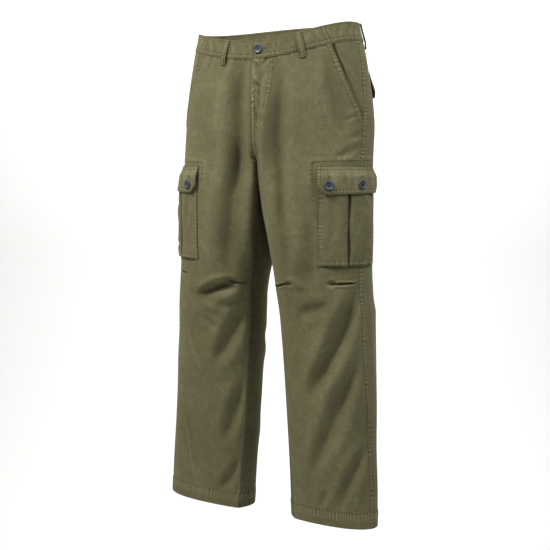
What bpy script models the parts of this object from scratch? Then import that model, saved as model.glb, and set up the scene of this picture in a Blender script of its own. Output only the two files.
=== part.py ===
"""Cargo pants in cotton twill, hollow, in the shape they take when worn.

Every cloth piece is a wall cut from one surface. That surface is a stack of sections: half rings
round the trunk, whole rings round each leg, and a blend of the two where the crotch seam turns
under. A place on it is given by its height and by its distance round the leg from the side seam,
forward positive. Pockets, flaps, waistband and loops are made from the same points, moved out.

Frame: metres, +Z up, the front faces -Y, the wearer's left is +X, the origin is at the waist.
"""

from collections import namedtuple

import bpy
import numpy as np
from mathutils import Matrix, Vector

COLLECTION = "cargo_pants"
SIDES = {"right": -1, "left": 1}

# Cloth and clearances
WALL = 0.0014
BAND_WALL = 0.0026
STRAP_WALL = 0.0016
POCKET_WALL = 0.0010
FLAP_WALL = 0.0018
SEAM_GAP = 0.0003
LAYER_GAP = 0.0003
LAP = 0.0007
STRAP_GAP = 0.0001
HIDDEN_STEP = 0.0042
BAND_LIFT = 0.0008
FRONT_BAND_EXTRA = 0.0004

# How finely the pieces are divided
PANEL_COLUMNS = 14
FORK_ROWS = 9
BAND_ROWS = 3
FRONT_BAND_COLUMNS = 10
BACK_BAND_COLUMNS = 18
HIP_ROWS = 9
LOOP_ROWS = 9
FLY_ROWS = 10
POCKET_ROWS = 9
FLAP_ROWS = 6
FLAP_COLUMNS = 8
BUTTON_STEPS = 14

# Waistband and hem
FRONT_DIP = 0.034
BACK_RISE = 0.015
BAND_DEPTH = 0.037
DIP_FADE = 0.14
DIP_POWER = 1.5
HEM = -1.024
HEM_FOLD = 0.034
HEM_STEP = 0.0008
HEM_TURN = 0.002
HEM_DROP_INSIDE = 0.012
HEM_DROP = {"right": 0.004, "left": 0.0}
HEM_DROP_START = -0.700
KNEE_TOP = -0.530
KNEE_FOOT = -0.640

# Crotch seam: heights where the front and back seams start to turn under, and their lowest point
FRONT_FORK = -0.222
BACK_FORK = -0.120
CROTCH = -0.272
BELOW_CROTCH = (-0.283, -0.302)
SEAT_START = 0.012
BLEND_START = -0.190
BLEND_END = -0.345
EDGE_POWER = 12
FORK_SOFTNESS = 2.2

# Slant pocket mouth: distance from the side seam at the waist, and the height where it meets it
MOUTH_TOP = {"right": 0.086, "left": 0.066}
MOUTH_END = -0.190
MOUTH_BOW = 0.012
MOUTH_UNDERLAP = 0.020
MOUTH_RAMP = 0.009
MOUTH_RAMP_RUN = 0.007
HIP_SHOWN = np.array([[0.0, 0.3, 0.6, 1.0]])
HIP_HIDDEN = np.array([[-0.1, 0.4, 1.0]])
MOUTH_FOOT = 0.004

# Fly: the turned edge that lies on the wearer's left front
FLY_WIDTH = (0.0180, 0.0080)
FLY_FOOT = 0.166

# Belt loops: distance from the side seam, forward positive
LOOP_WIDTH = 0.0125
LOOP_BELOW_BAND = 0.015
LOOP_BOW = 0.0026
LOOP_TOP = 0.001
FRONT_LOOP = {"right": 0.154, "left": 0.119}
SIDE_LOOP = -0.040

# Cargo pockets: edges as distances from the side seam, drops as heights
POCKET_FRONT = 0.086
POCKET_PLEAT = 0.025
POCKET_BACK = -0.052
POCKET_PUFF = {"right": 0.0012, "left": 0.0042}
POCKET_SHIFT = {"right": 0.010, "left": 0.0}
POCKET_TOP = -0.312
POCKET_BOTTOM = -0.480
PLEAT_TUCK = 0.018
PLEAT_SLIT = 0.0011
PLEAT_OPENING = 0.0022
PLEAT_GAP = 0.0005
PLEAT_TURN = 1.3
SHARPEST_TURN = 0.6
POCKET_RISE = (0.010, 0.026)
POCKET_FALL = (0.022, 0.009)
FLAP_TOP = -0.283
FLAP_BOTTOM = -0.3385
FLAP_CLIP = 0.015
FLAP_MARGIN = 0.002
FLAP_RISE = 2.2
BACK_FLAP_RISE = 1.2
FLAP_FRONT_BUTTON_IN = 0.024
FLAP_BACK_BUTTON_IN = {"right": 0.024, "left": 0.055}
FLAP_BUTTON_UP = 0.0165
BACK_FLAP_BUTTON_UP = 0.021
FLAP_OVER_POCKET = 0.0086
FLAP_BACK_LIFT = {"right": 0.0006, "left": 0.0034}

# Back pocket flaps
BACK_FLAP_FRONT = -0.058
BACK_FLAP_BACK = -0.190
BACK_FLAP_TOP = -0.096
BACK_FLAP_BOTTOM = -0.146
BACK_FLAP_LIFT = 0.0020

# Buttons
BUTTON_RADIUS = 0.0095
BUTTON_THICKNESS = 0.0030
BUTTON_MERGE = 0.0001
WAIST_BUTTON_IN = 0.013
ButtonPoint = namedtuple("ButtonPoint", "radius height")
BUTTON_PROFILE = (
    ButtonPoint(0.0, 0.62),
    ButtonPoint(0.55, 0.62),
    ButtonPoint(0.70, 1.0),
    ButtonPoint(0.90, 0.95),
    ButtonPoint(1.0, 0.60),
    ButtonPoint(0.96, 0.15),
    ButtonPoint(0.80, 0.0),
    ButtonPoint(0.0, 0.0),
)

# Rounding where a thigh meets the other, and the smallest angle that is shaded as an edge
INNER_CORNER = 0.006
SHARP_ANGLE = 50

TrunkSection = namedtuple("TrunkSection", "height half_width front back outseam")
TRUNK = (
    TrunkSection(0.020, 0.179, 0.100, 0.097, 10),
    TrunkSection(-0.010, 0.183, 0.101, 0.100, 10),
    TrunkSection(-0.045, 0.193, 0.102, 0.105, 10),
    TrunkSection(-0.085, 0.201, 0.106, 0.113, 10),
    TrunkSection(-0.125, 0.208, 0.110, 0.120, 12),
    TrunkSection(-0.170, 0.214, 0.112, 0.125, 14),
    TrunkSection(-0.225, 0.218, 0.113, 0.125, 17),
    TrunkSection(-0.280, 0.220, 0.111, 0.120, 19),
    TrunkSection(-0.350, 0.221, 0.108, 0.112, 23),
)

LegSection = namedtuple(
    "LegSection", "height centre_x centre_y half_width half_depth turn power outseam inseam slit")
LEG = (
    LegSection(-0.180, 0.087, -0.004, 0.123, 0.112, 5, 2.2, 15, 140, 0.0004),
    LegSection(-0.235, 0.089, -0.005, 0.122, 0.110, 7, 2.25, 17, 140, 0.0004),
    LegSection(-0.295, 0.092, -0.006, 0.120, 0.107, 10, 2.3, 20, 142, 0.0012),
    LegSection(-0.345, 0.099, -0.008, 0.117, 0.102, 18, 2.6, 23, 145, 0.0030),
    LegSection(-0.405, 0.106, -0.012, 0.112, 0.096, 24, 2.8, 26, 149, 0.0050),
    LegSection(-0.455, 0.112, -0.014, 0.107, 0.091, 24, 2.8, 26, 153, 0.0070),
    LegSection(-0.505, 0.118, -0.016, 0.102, 0.085, 19, 2.6, 26, 155, 0.0090),
    LegSection(-0.545, 0.123, -0.018, 0.1005, 0.081, 11, 2.4, 26, 155, 0.0100),
    LegSection(-0.585, 0.127, -0.015, 0.101, 0.079, 4, 2.3, 27, 154, 0.0100),
    LegSection(-0.645, 0.130, -0.013, 0.101, 0.077, 0, 2.2, 27, 152, 0.0100),
    LegSection(-0.705, 0.134, -0.015, 0.101, 0.073, -2, 2.15, 26, 152, 0.0100),
    LegSection(-0.785, 0.138, -0.016, 0.101, 0.068, -3, 2.1, 24, 151, 0.0100),
    LegSection(-0.865, 0.142, -0.019, 0.101, 0.062, -5, 2.05, 24, 150, 0.0100),
    LegSection(-0.945, 0.147, -0.022, 0.102, 0.055, -5, 2.0, 26, 147, 0.0100),
    LegSection(-1.040, 0.151, -0.026, 0.102, 0.048, -6, 2.0, 28, 145, 0.0100),
)

# Largest folds of the worn cloth, each a soft trough from place a to place b: distances forward of
# the side seam and heights, how far its middle bows to the side, half width and depth. A negative
# depth is a ridge.
Fold = namedtuple("Fold", "side round_a height_a round_b height_b bow half_width depth")
FOLDS = (
    Fold("right", 0.196, -0.115, 0.191, -0.280, 0.000, 0.013, 0.0030),
    Fold("right", 0.177, -0.330, 0.169, -0.500, -0.004, 0.024, 0.0060),
    Fold("right", 0.200, -0.575, 0.108, -0.715, 0.010, 0.013, 0.0055),
    Fold("right", 0.198, -0.695, 0.146, -0.880, 0.004, 0.015, 0.0060),
    Fold("right", 0.175, -0.915, 0.138, -1.000, 0.004, 0.012, 0.0040),
    Fold("right", 0.028, -0.505, 0.112, -0.620, -0.003, 0.010, -0.0035),
    Fold("right", 0.030, -0.575, 0.100, -0.740, 0.002, 0.010, -0.0035),
    Fold("right", 0.030, -0.745, 0.097, -1.000, 0.003, 0.012, -0.0035),
    Fold("right", 0.142, -0.522, 0.108, -0.550, 0.000, 0.011, 0.0045),
    Fold("right", 0.214, -0.532, 0.158, -0.515, 0.000, 0.008, 0.0040),
    Fold("right", 0.005, -0.512, 0.050, -0.514, 0.000, 0.008, 0.0040),
    Fold("right", -0.060, -0.560, -0.200, -0.620, 0.012, 0.014, 0.0055),
    Fold("right", -0.300, -0.500, -0.160, -0.560, -0.010, 0.015, 0.0055),
    Fold("right", -0.310, -0.640, -0.170, -0.760, 0.012, 0.015, 0.0055),
    Fold("right", -0.080, -0.700, -0.170, -0.860, -0.012, 0.014, 0.0050),
    Fold("right", -0.260, -0.820, -0.180, -0.960, 0.008, 0.014, 0.0045),
    Fold("right", -0.120, -0.330, -0.300, -0.300, 0.010, 0.018, 0.0035),
    Fold("left", 0.166, -0.110, 0.181, -0.330, -0.003, 0.013, 0.0035),
    Fold("left", 0.063, -0.100, 0.022, -0.250, -0.009, 0.012, 0.0030),
    Fold("left", 0.100, -0.400, 0.102, -0.510, 0.000, 0.012, 0.0040),
    Fold("left", 0.008, -0.512, 0.152, -0.765, 0.005, 0.015, 0.0075),
    Fold("left", 0.008, -0.655, 0.148, -0.940, 0.003, 0.015, 0.0070),
    Fold("left", 0.012, -0.845, 0.078, -1.000, 0.003, 0.013, 0.0055),
    Fold("left", 0.110, -0.560, 0.100, -0.590, 0.000, 0.010, 0.0035),
    Fold("left", 0.214, -0.534, 0.142, -0.517, 0.000, 0.008, 0.0040),
    Fold("left", 0.005, -0.517, 0.054, -0.514, 0.000, 0.008, 0.0040),
    Fold("left", -0.032, -0.560, -0.034, -0.740, 0.002, 0.010, -0.0030),
    Fold("left", -0.070, -0.545, -0.210, -0.610, 0.010, 0.014, 0.0055),
    Fold("left", -0.300, -0.510, -0.150, -0.580, -0.012, 0.015, 0.0055),
    Fold("left", -0.300, -0.660, -0.180, -0.770, 0.010, 0.015, 0.0055),
    Fold("left", -0.080, -0.690, -0.190, -0.850, -0.010, 0.014, 0.0050),
    Fold("left", -0.250, -0.840, -0.160, -0.970, 0.008, 0.014, 0.0045),
    Fold("left", -0.110, -0.335, -0.310, -0.310, 0.012, 0.018, 0.0035),
)

# A trough has raised shoulders beside it, and fades at its ends, by the seams and under a pocket
SHOULDER = 0.35
SHOULDER_PLACE = 1.9
FOLD_FADE = 2.6
SEAM_FADE = 0.014
POCKET_FADE = 0.012


def smooth_step(value):
    """Ease from 0 to 1 with level ends."""
    t = np.clip(value, 0.0, 1.0)
    return t * t * (3.0 - 2.0 * t)


def column(sections, name, height):
    """Read one column of a section table at any height, as a smooth curve through its rows."""
    order = sorted(sections, key=lambda row: row.height)
    knots = np.array([row.height for row in order])
    values = np.array([getattr(row, name) for row in order], dtype=float)
    slopes = np.gradient(values, knots)
    height = np.clip(height, knots[0], knots[-1])
    left = np.clip(np.searchsorted(knots, height, side="right") - 1, 0, len(knots) - 2)
    span = knots[left + 1] - knots[left]
    t = (height - knots[left]) / span
    return (
        values[left] * (1 + 2 * t) * (1 - t) ** 2
        + values[left + 1] * t * t * (3 - 2 * t)
        + span * slopes[left] * t * (1 - t) ** 2
        - span * slopes[left + 1] * t * t * (1 - t)
    )


def power_arc(angle, power):
    """Cosine and sine of a rounded square's angle: each raised to 2 / power, sign kept."""
    cosine = np.cos(angle)
    sine = np.sin(angle)
    return (
        np.sign(cosine) * np.abs(cosine) ** (2.0 / power),
        np.sign(sine) * np.abs(sine) ** (2.0 / power),
    )


def trunk_ring(across, height):
    """Half ring of the trunk: across runs from -1 at the back seam to 1 at the front seam."""
    seam = np.radians(column(TRUNK, "outseam", height))
    quarter = np.pi / 2
    angle = np.where(across > 0, seam + (quarter - seam) * across, seam + (quarter + seam) * across)
    depth = np.where(
        angle > 0, column(TRUNK, "front", height), column(TRUNK, "back", height))
    x = column(TRUNK, "half_width", height) * np.cos(angle)
    y = -depth * np.sin(angle)
    return x, y


def leg_ring(across, height):
    """Whole ring of a leg, a turned rounded square that stays clear of the other leg."""
    seam = np.radians(column(LEG, "outseam", height))
    inner = np.radians(column(LEG, "inseam", height))
    full = 2 * np.pi
    angle = np.where(
        across > 0, seam + (inner - seam) * across, seam + (full - inner + seam) * across)
    turn = np.radians(column(LEG, "turn", height))
    cosine, sine = power_arc(angle + turn, column(LEG, "power", height))
    along = column(LEG, "half_width", height) * cosine
    out = column(LEG, "half_depth", height) * sine
    x = column(LEG, "centre_x", height) + along * np.cos(turn) + out * np.sin(turn)
    y = column(LEG, "centre_y", height) + along * np.sin(turn) - out * np.cos(turn)
    slit = column(LEG, "slit", height)
    room = (x - slit) / INNER_CORNER
    x = slit + INNER_CORNER * (np.logaddexp(0.0, room) - np.log(2.0) * np.exp(-room ** 2))
    return np.maximum(x, slit), y


def fork_turn(across, height):
    """How far the crotch seam has turned under, 0 to 1: a quarter circle at the seam itself.

    Away from the seam it is the mean of that quarter circle over a span of heights, so that the
    cloth beside the seam has no level crease.
    """
    fork = np.where(across > 0, FRONT_FORK, BACK_FORK)
    turned = (fork - height) / (fork - CROTCH)
    span = 0.001 + FORK_SOFTNESS * (1.0 - np.abs(across)) ** 0.7
    total = 0.0
    for sign in (1.0, -1.0):
        place = turned + sign * span
        arc = np.clip(place, 0.0, 1.0)
        area = arc - (arc * np.sqrt(1.0 - arc ** 2) + np.arcsin(arc)) / 2
        total = total + sign * (area + np.maximum(place - 1.0, 0.0))
    return total / (2 * span)


def ring(across, height, seam_turn=1.0):
    """Trunk and leg rings blended through the fork, where the edges follow the crotch seam.

    With seam_turn 0 the edges blend as the side does, which gives a length without the fork.
    """
    trunk_x, trunk_y = trunk_ring(across, height)
    leg_x, leg_y = leg_ring(across, height)
    at_edge = fork_turn(across, height)
    at_side = smooth_step((BLEND_START - height) / (BLEND_START - BLEND_END))
    edge_share = seam_turn * np.abs(across) ** EDGE_POWER
    share = at_side + (at_edge - at_side) * edge_share
    x = trunk_x + (leg_x - trunk_x) * share
    y = trunk_y + (leg_y - trunk_y) * share
    return x, y


class LegSurface:
    """The cloth surface of one leg and its half of the trunk, read by position or by distance."""

    ROWS = 540
    HALF_COLUMNS = 200
    TOP = 0.020
    BOTTOM = -1.055
    PROBE = 0.0015

    def __init__(self, side_name):
        self.name = side_name
        self.side = SIDES[side_name]
        self.heights = np.linspace(self.TOP, self.BOTTOM, self.ROWS)
        front, front_distance, front_share = self._measured_half(1.0)
        back, back_distance, back_share = self._measured_half(-1.0)
        self.grid = np.concatenate([back[:, :0:-1], front], axis=1)
        self.distances = np.concatenate([-back_distance[:, :0:-1], front_distance], axis=1)
        self.shares = np.concatenate([-back_share[:, :0:-1], front_share], axis=1)
        self.folds = [fold for fold in FOLDS if fold.side == side_name]

    def _measured_half(self, direction):
        """Sample one half of every ring along its length.

        Columns are even in distance near the side seam and take up the fork's extra length close
        to the inner edge, so that they run straight down the leg.
        """
        fine = direction * np.linspace(0.0, 1.0, 5 * self.HALF_COLUMNS)[None, :]
        even = np.linspace(0.0, 1.0, self.HALF_COLUMNS + 1)
        lengths = []
        for seam_turn in (0.0, 1.0):
            x, y = ring(fine, self.heights[:, None], seam_turn)
            steps = np.hypot(np.diff(x, axis=1), np.diff(y, axis=1))
            lengths.append(np.pad(np.cumsum(steps, axis=1), ((0, 0), (1, 0))))
        plain, full = (length[:, -1:] for length in lengths)
        distance = plain * even + (full - plain) * even ** EDGE_POWER
        distance = np.maximum.accumulate(distance, axis=1)
        points = np.empty((self.ROWS, self.HALF_COLUMNS + 1, 2))
        share = np.empty((self.ROWS, self.HALF_COLUMNS + 1))
        for row in range(self.ROWS):
            points[row, :, 0] = np.interp(distance[row], lengths[1][row], x[row])
            points[row, :, 1] = np.interp(distance[row], lengths[1][row], y[row])
            share[row] = np.interp(even * full[row], distance[row], even)
        return points, distance, share

    def _read(self, table, column_place, height):
        """Read a table of rows by height and columns by place, -1 to 1, between its entries."""
        row = (self.TOP - height) / (self.TOP - self.BOTTOM) * (self.ROWS - 1)
        row = np.clip(row, 0, self.ROWS - 1.0001)
        place = np.clip((column_place + 1.0) * self.HALF_COLUMNS, 0, 2 * self.HALF_COLUMNS - 0.0001)
        upper = row.astype(int)
        left = place.astype(int)
        down = row - upper
        along = place - left
        if table.ndim == 3:
            down = down[..., None]
            along = along[..., None]
        return (
            table[upper, left] * (1 - down) * (1 - along)
            + table[upper + 1, left] * down * (1 - along)
            + table[upper, left + 1] * (1 - down) * along
            + table[upper + 1, left + 1] * down * along
        )

    def front(self, height):
        """Distance from the side seam forward to the front seam or inseam."""
        return np.interp(-height, -self.heights, self.distances[:, -1])

    def back(self, height):
        """Distance from the side seam backward to the back seam or inseam."""
        return np.interp(-height, -self.heights, -self.distances[:, 0])

    def across(self, distance, height):
        """Turn a distance from the side seam into a share of the panel, -1 to 1."""
        distance, height = np.broadcast_arrays(distance, height)
        limit = np.where(distance > 0, self.front(height), self.back(height))
        return self._read(self.shares, distance / limit, height)

    def distance(self, across, height):
        """Turn a share of the panel into a distance from the side seam."""
        across, height = np.broadcast_arrays(across, height)
        return self._read(self.distances, across, height)

    def _base(self, across, height):
        """Point on the smooth surface; past a seam it goes on over the neighbouring panel."""
        across, height = np.broadcast_arrays(across, height)
        over = np.abs(across) > 1.0
        inside = np.where(over, np.sign(across) * (2.0 - np.abs(across)), across)
        wrapped = over & (height < CROTCH)
        ratio = self.front(height) / self.back(height)
        past = np.abs(across) - 1.0
        other = np.where(across > 0, past * ratio - 1.0, 1.0 - past / ratio)
        inside = np.where(wrapped, other, inside)
        point = self._read(self.grid, inside, height)
        mirrored = over & ~wrapped
        x = np.where(mirrored, -point[..., 0], point[..., 0])
        return np.stack([self.side * x, point[..., 1], height], axis=-1)

    def _normal(self, sample, across, height):
        """Outward direction of a sampled surface, from its steps each way."""
        step = self.PROBE / self.front(height)
        round_step = sample(across + step, height) - sample(across - step, height)
        down_step = sample(across, height - self.PROBE) - sample(across, height + self.PROBE)
        normal = np.cross(round_step, down_step) * self.side
        return normal / np.linalg.norm(normal, axis=-1, keepdims=True)

    def fold_depth(self, across, height):
        """How far the folds push the cloth in: each is a soft trough that fades at both ends."""
        distance = self.distance(across, height)
        total = np.zeros(distance.shape)
        for fold in self.folds:
            run = np.array([fold.round_b - fold.round_a, fold.height_b - fold.height_a])
            length = np.hypot(*run)
            run = run / length
            from_a = np.stack([distance - fold.round_a, height - fold.height_a], axis=-1)
            along = from_a @ run / length
            bow = 4.0 * fold.bow * along * (1.0 - along)
            off = (from_a @ np.array([-run[1], run[0]]) - bow) / fold.half_width
            shoulder = SHOULDER * np.exp(-(np.abs(off) - SHOULDER_PLACE) ** 2)
            trough = np.exp(-off ** 2) - shoulder
            ends = smooth_step((1.0 - np.abs(2.0 * along - 1.0)) * FOLD_FADE)
            total = total + fold.depth * trough * ends
        seam_room = (1.0 - np.abs(across)) * self.front(height)
        above = smooth_step((height - POCKET_BOTTOM) / POCKET_FADE + 1.0)
        below = smooth_step((FLAP_TOP - height) / POCKET_FADE + 1.0)
        shift = POCKET_SHIFT[self.name]
        ahead = smooth_step((distance - POCKET_FRONT - shift) / POCKET_FADE)
        behind = smooth_step((POCKET_BACK + shift - distance) / POCKET_FADE)
        flat = 1.0 - above * below * (1.0 - np.clip(ahead + behind, 0.0, 1.0))
        return total * flat * smooth_step(seam_room / SEAM_FADE)

    def _folded(self, across, height):
        """Point on the folded surface."""
        base = self._base(across, height)
        inward = self.fold_depth(across, height)[..., None]
        return base - self._normal(self._base, across, height) * inward

    def points(self, across, height, lift=0.0):
        """Points on the folded surface, moved out by lift, and their outward directions."""
        across, height, lift = np.broadcast_arrays(across, height, lift)
        normal = self._normal(self._folded, across, height)
        at_crotch = (np.abs(height - CROTCH) < 0.0001) & (np.abs(across) > 0.995)
        down = np.array([-0.6 * self.side, 0.0, -0.8])
        normal = np.where(at_crotch[..., None], down, normal)
        return self._folded(across, height) + normal * lift[..., None], normal


def row_height(across, drop):
    """Height of a row that lies drop below the waist's top edge and levels out further down."""
    rise = np.where(np.asarray(across) > 0, -FRONT_DIP, BACK_RISE)
    fade = 1.0 - smooth_step((drop - BAND_DEPTH) / DIP_FADE)
    return rise * np.sin(np.abs(across) * np.pi / 2) ** DIP_POWER * fade - drop


def hem_drop(side_name, across, drop):
    """How much lower the hem lies on the inside of the leg, eased in below the knee."""
    lower = HEM_DROP_INSIDE * np.abs(across) ** 3 + HEM_DROP[side_name]
    return lower * smooth_step((drop + HEM_DROP_START) / (HEM_DROP_START - HEM))


def lay_out(surface, drop, share, start, end):
    """Places spread between two edges, each edge a distance that is a function of height."""
    height = -drop * np.ones_like(share)
    for _ in range(4):
        distance = start(height) + (end(height) - start(height)) * share
        across = surface.across(distance, height)
        height = row_height(across, drop) - hem_drop(surface.name, across, drop)
    return across, height


def mouth_line(height, side_name):
    """Distance of the slant pocket mouth from the side seam at a height."""
    share = np.clip((height - MOUTH_END) / -MOUTH_END, 0.0, 1.0)
    return MOUTH_TOP[side_name] * share + MOUTH_BOW * np.sin(np.pi * share)


def pleat_path(slit, puff, layers):
    """Middle line of the pocket's cloth from its back edge to its front, a row for each height.

    Each line of the table is a distance from the side seam and a lift. The cloth comes in along
    the top layer, folds back under itself at the slit, turns again at the end of the tuck, and
    crosses behind the slit on the lowest layer before it does the same the other way.
    """
    low, middle, high = layers
    turn = PLEAT_TURN * POCKET_WALL
    edge = POCKET_PLEAT - slit
    end = POCKET_PLEAT - PLEAT_TUCK
    middle_of_tuck = (end + edge) / 2
    back_half = (
        (POCKET_BACK, low),
        (POCKET_BACK + POCKET_RISE[0], low + 0.5 * puff),
        (POCKET_BACK + POCKET_RISE[1], high + puff),
        (end - POCKET_RISE[0], high + 0.9 * puff),
        (end, high + 0.6 * puff),
        (middle_of_tuck, high + 0.3 * puff),
        (edge - turn, high),
        (edge, (middle + high) / 2),
        (edge - turn, middle),
        (middle_of_tuck, middle),
        (end + turn, middle),
        (end, (low + middle) / 2),
        (end + turn, low),
        (middle_of_tuck, low),
        (POCKET_PLEAT, low),
    )
    edge = POCKET_PLEAT + slit
    end = POCKET_PLEAT + PLEAT_TUCK
    middle_of_tuck = (end + edge) / 2
    front_half = (
        (middle_of_tuck, low),
        (end - turn, low),
        (end, (low + middle) / 2),
        (end - turn, middle),
        (middle_of_tuck, middle),
        (edge + turn, middle),
        (edge, (middle + high) / 2),
        (edge + turn, high),
        (middle_of_tuck, high + 0.2 * puff),
        (end, high + 0.3 * puff),
        (POCKET_FRONT - POCKET_FALL[0], high + 0.2 * puff),
        (POCKET_FRONT - POCKET_FALL[1], low + 0.2 * puff),
        (POCKET_FRONT, low),
    )
    ones = np.ones_like(slit)
    rows = [np.concatenate([a * ones, b * ones], axis=1) for a, b in back_half + front_half]
    return np.stack(rows, axis=1)


def offset_path(distance, lift, amount):
    """Move each row's path sideways by amount, square to the path at every point."""
    before = np.stack([np.diff(distance, axis=1), np.diff(lift, axis=1)], axis=-1)
    before /= np.linalg.norm(before, axis=-1, keepdims=True)
    first = np.concatenate([before[:, :1], before], axis=1)
    last = np.concatenate([before, before[:, -1:]], axis=1)
    run, rise = np.moveaxis(first + last, -1, 0)
    length = np.hypot(run, rise)
    square = np.stack([-rise / length, run / length], axis=-1)
    half_turn = np.maximum(length / 2, SHARPEST_TURN)
    moved = square * (amount / half_turn)[..., None]
    return np.stack([distance, lift], axis=-1) + moved


def clear_sides(points, side):
    """Keep a grid on its own side of the centre seam by half the seam gap."""
    points[..., 0] = side * np.maximum(points[..., 0] * side, SEAM_GAP / 2)
    return points


def grid_triangles(points, ids, layered):
    """Two triangles for each cell of a grid, cut along the diagonal that bends the cloth less.

    Cloth that lies on itself in layers is cut one way all over, so that its layers stay apart.
    """
    corners = [points[:-1, :-1], points[:-1, 1:], points[1:, 1:], points[1:, :-1]]
    names = [ids[:-1, :-1], ids[:-1, 1:], ids[1:, 1:], ids[1:, :-1]]

    def facing(a, b, c):
        normal = np.cross(corners[b] - corners[a], corners[c] - corners[a])
        return normal / np.linalg.norm(normal, axis=-1, keepdims=True)

    falling = (facing(0, 1, 2) * facing(0, 2, 3)).sum(axis=-1)
    rising = (facing(0, 1, 3) * facing(1, 2, 3)).sum(axis=-1)
    split = ((falling >= rising) | layered)[..., None]
    first = np.where(split, np.stack([names[0], names[1], names[2]], axis=-1),
                     np.stack([names[0], names[1], names[3]], axis=-1))
    second = np.where(split, np.stack([names[0], names[2], names[3]], axis=-1),
                      np.stack([names[1], names[2], names[3]], axis=-1))
    return np.concatenate([first.reshape(-1, 3), second.reshape(-1, 3)])


def shell_mesh(name, outer, inner, side, layered=False):
    """Closed wall between an outer and an inner grid of the same shape, both cut the same way."""
    rows, cols = outer.shape[:2]
    count = rows * cols
    ids = np.arange(count).reshape(rows, cols)
    skin = grid_triangles(outer, ids, layered)
    border = np.concatenate([
        ids[0, :], ids[1:, -1], ids[-1, -2::-1], ids[-2:0:-1, 0]])
    follower = np.roll(border, -1)
    rim = np.stack([follower, border, border + count, follower + count], axis=-1)
    lining = skin[:, ::-1] + count
    if side < 0:
        skin = skin[:, ::-1]
        lining = lining[:, ::-1]
        rim = rim[:, ::-1]
    faces = skin.tolist() + lining.tolist() + rim.tolist()
    mesh = bpy.data.meshes.new(name)
    points = np.concatenate([outer.reshape(-1, 3), inner.reshape(-1, 3)])
    mesh.from_pydata(points.tolist(), [], faces)
    mesh.shade_smooth()
    mesh.set_sharp_from_angle(angle=np.radians(SHARP_ANGLE))
    return mesh


def cloth_material(name, colour, roughness):
    """Matte cloth of one colour."""
    material = bpy.data.materials.new(name)
    material.use_nodes = True
    shader = material.node_tree.nodes["Principled BSDF"]
    shader.inputs["Base Color"].default_value = (*colour, 1.0)
    shader.inputs["Roughness"].default_value = roughness
    shader.inputs["Metallic"].default_value = 0.0
    return material


def add_object(name, mesh, collection, material):
    """Put a mesh in the collection as a named object with one material."""
    piece = bpy.data.objects.new(name, mesh)
    mesh.materials.append(material)
    collection.objects.link(piece)
    return piece


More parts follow.
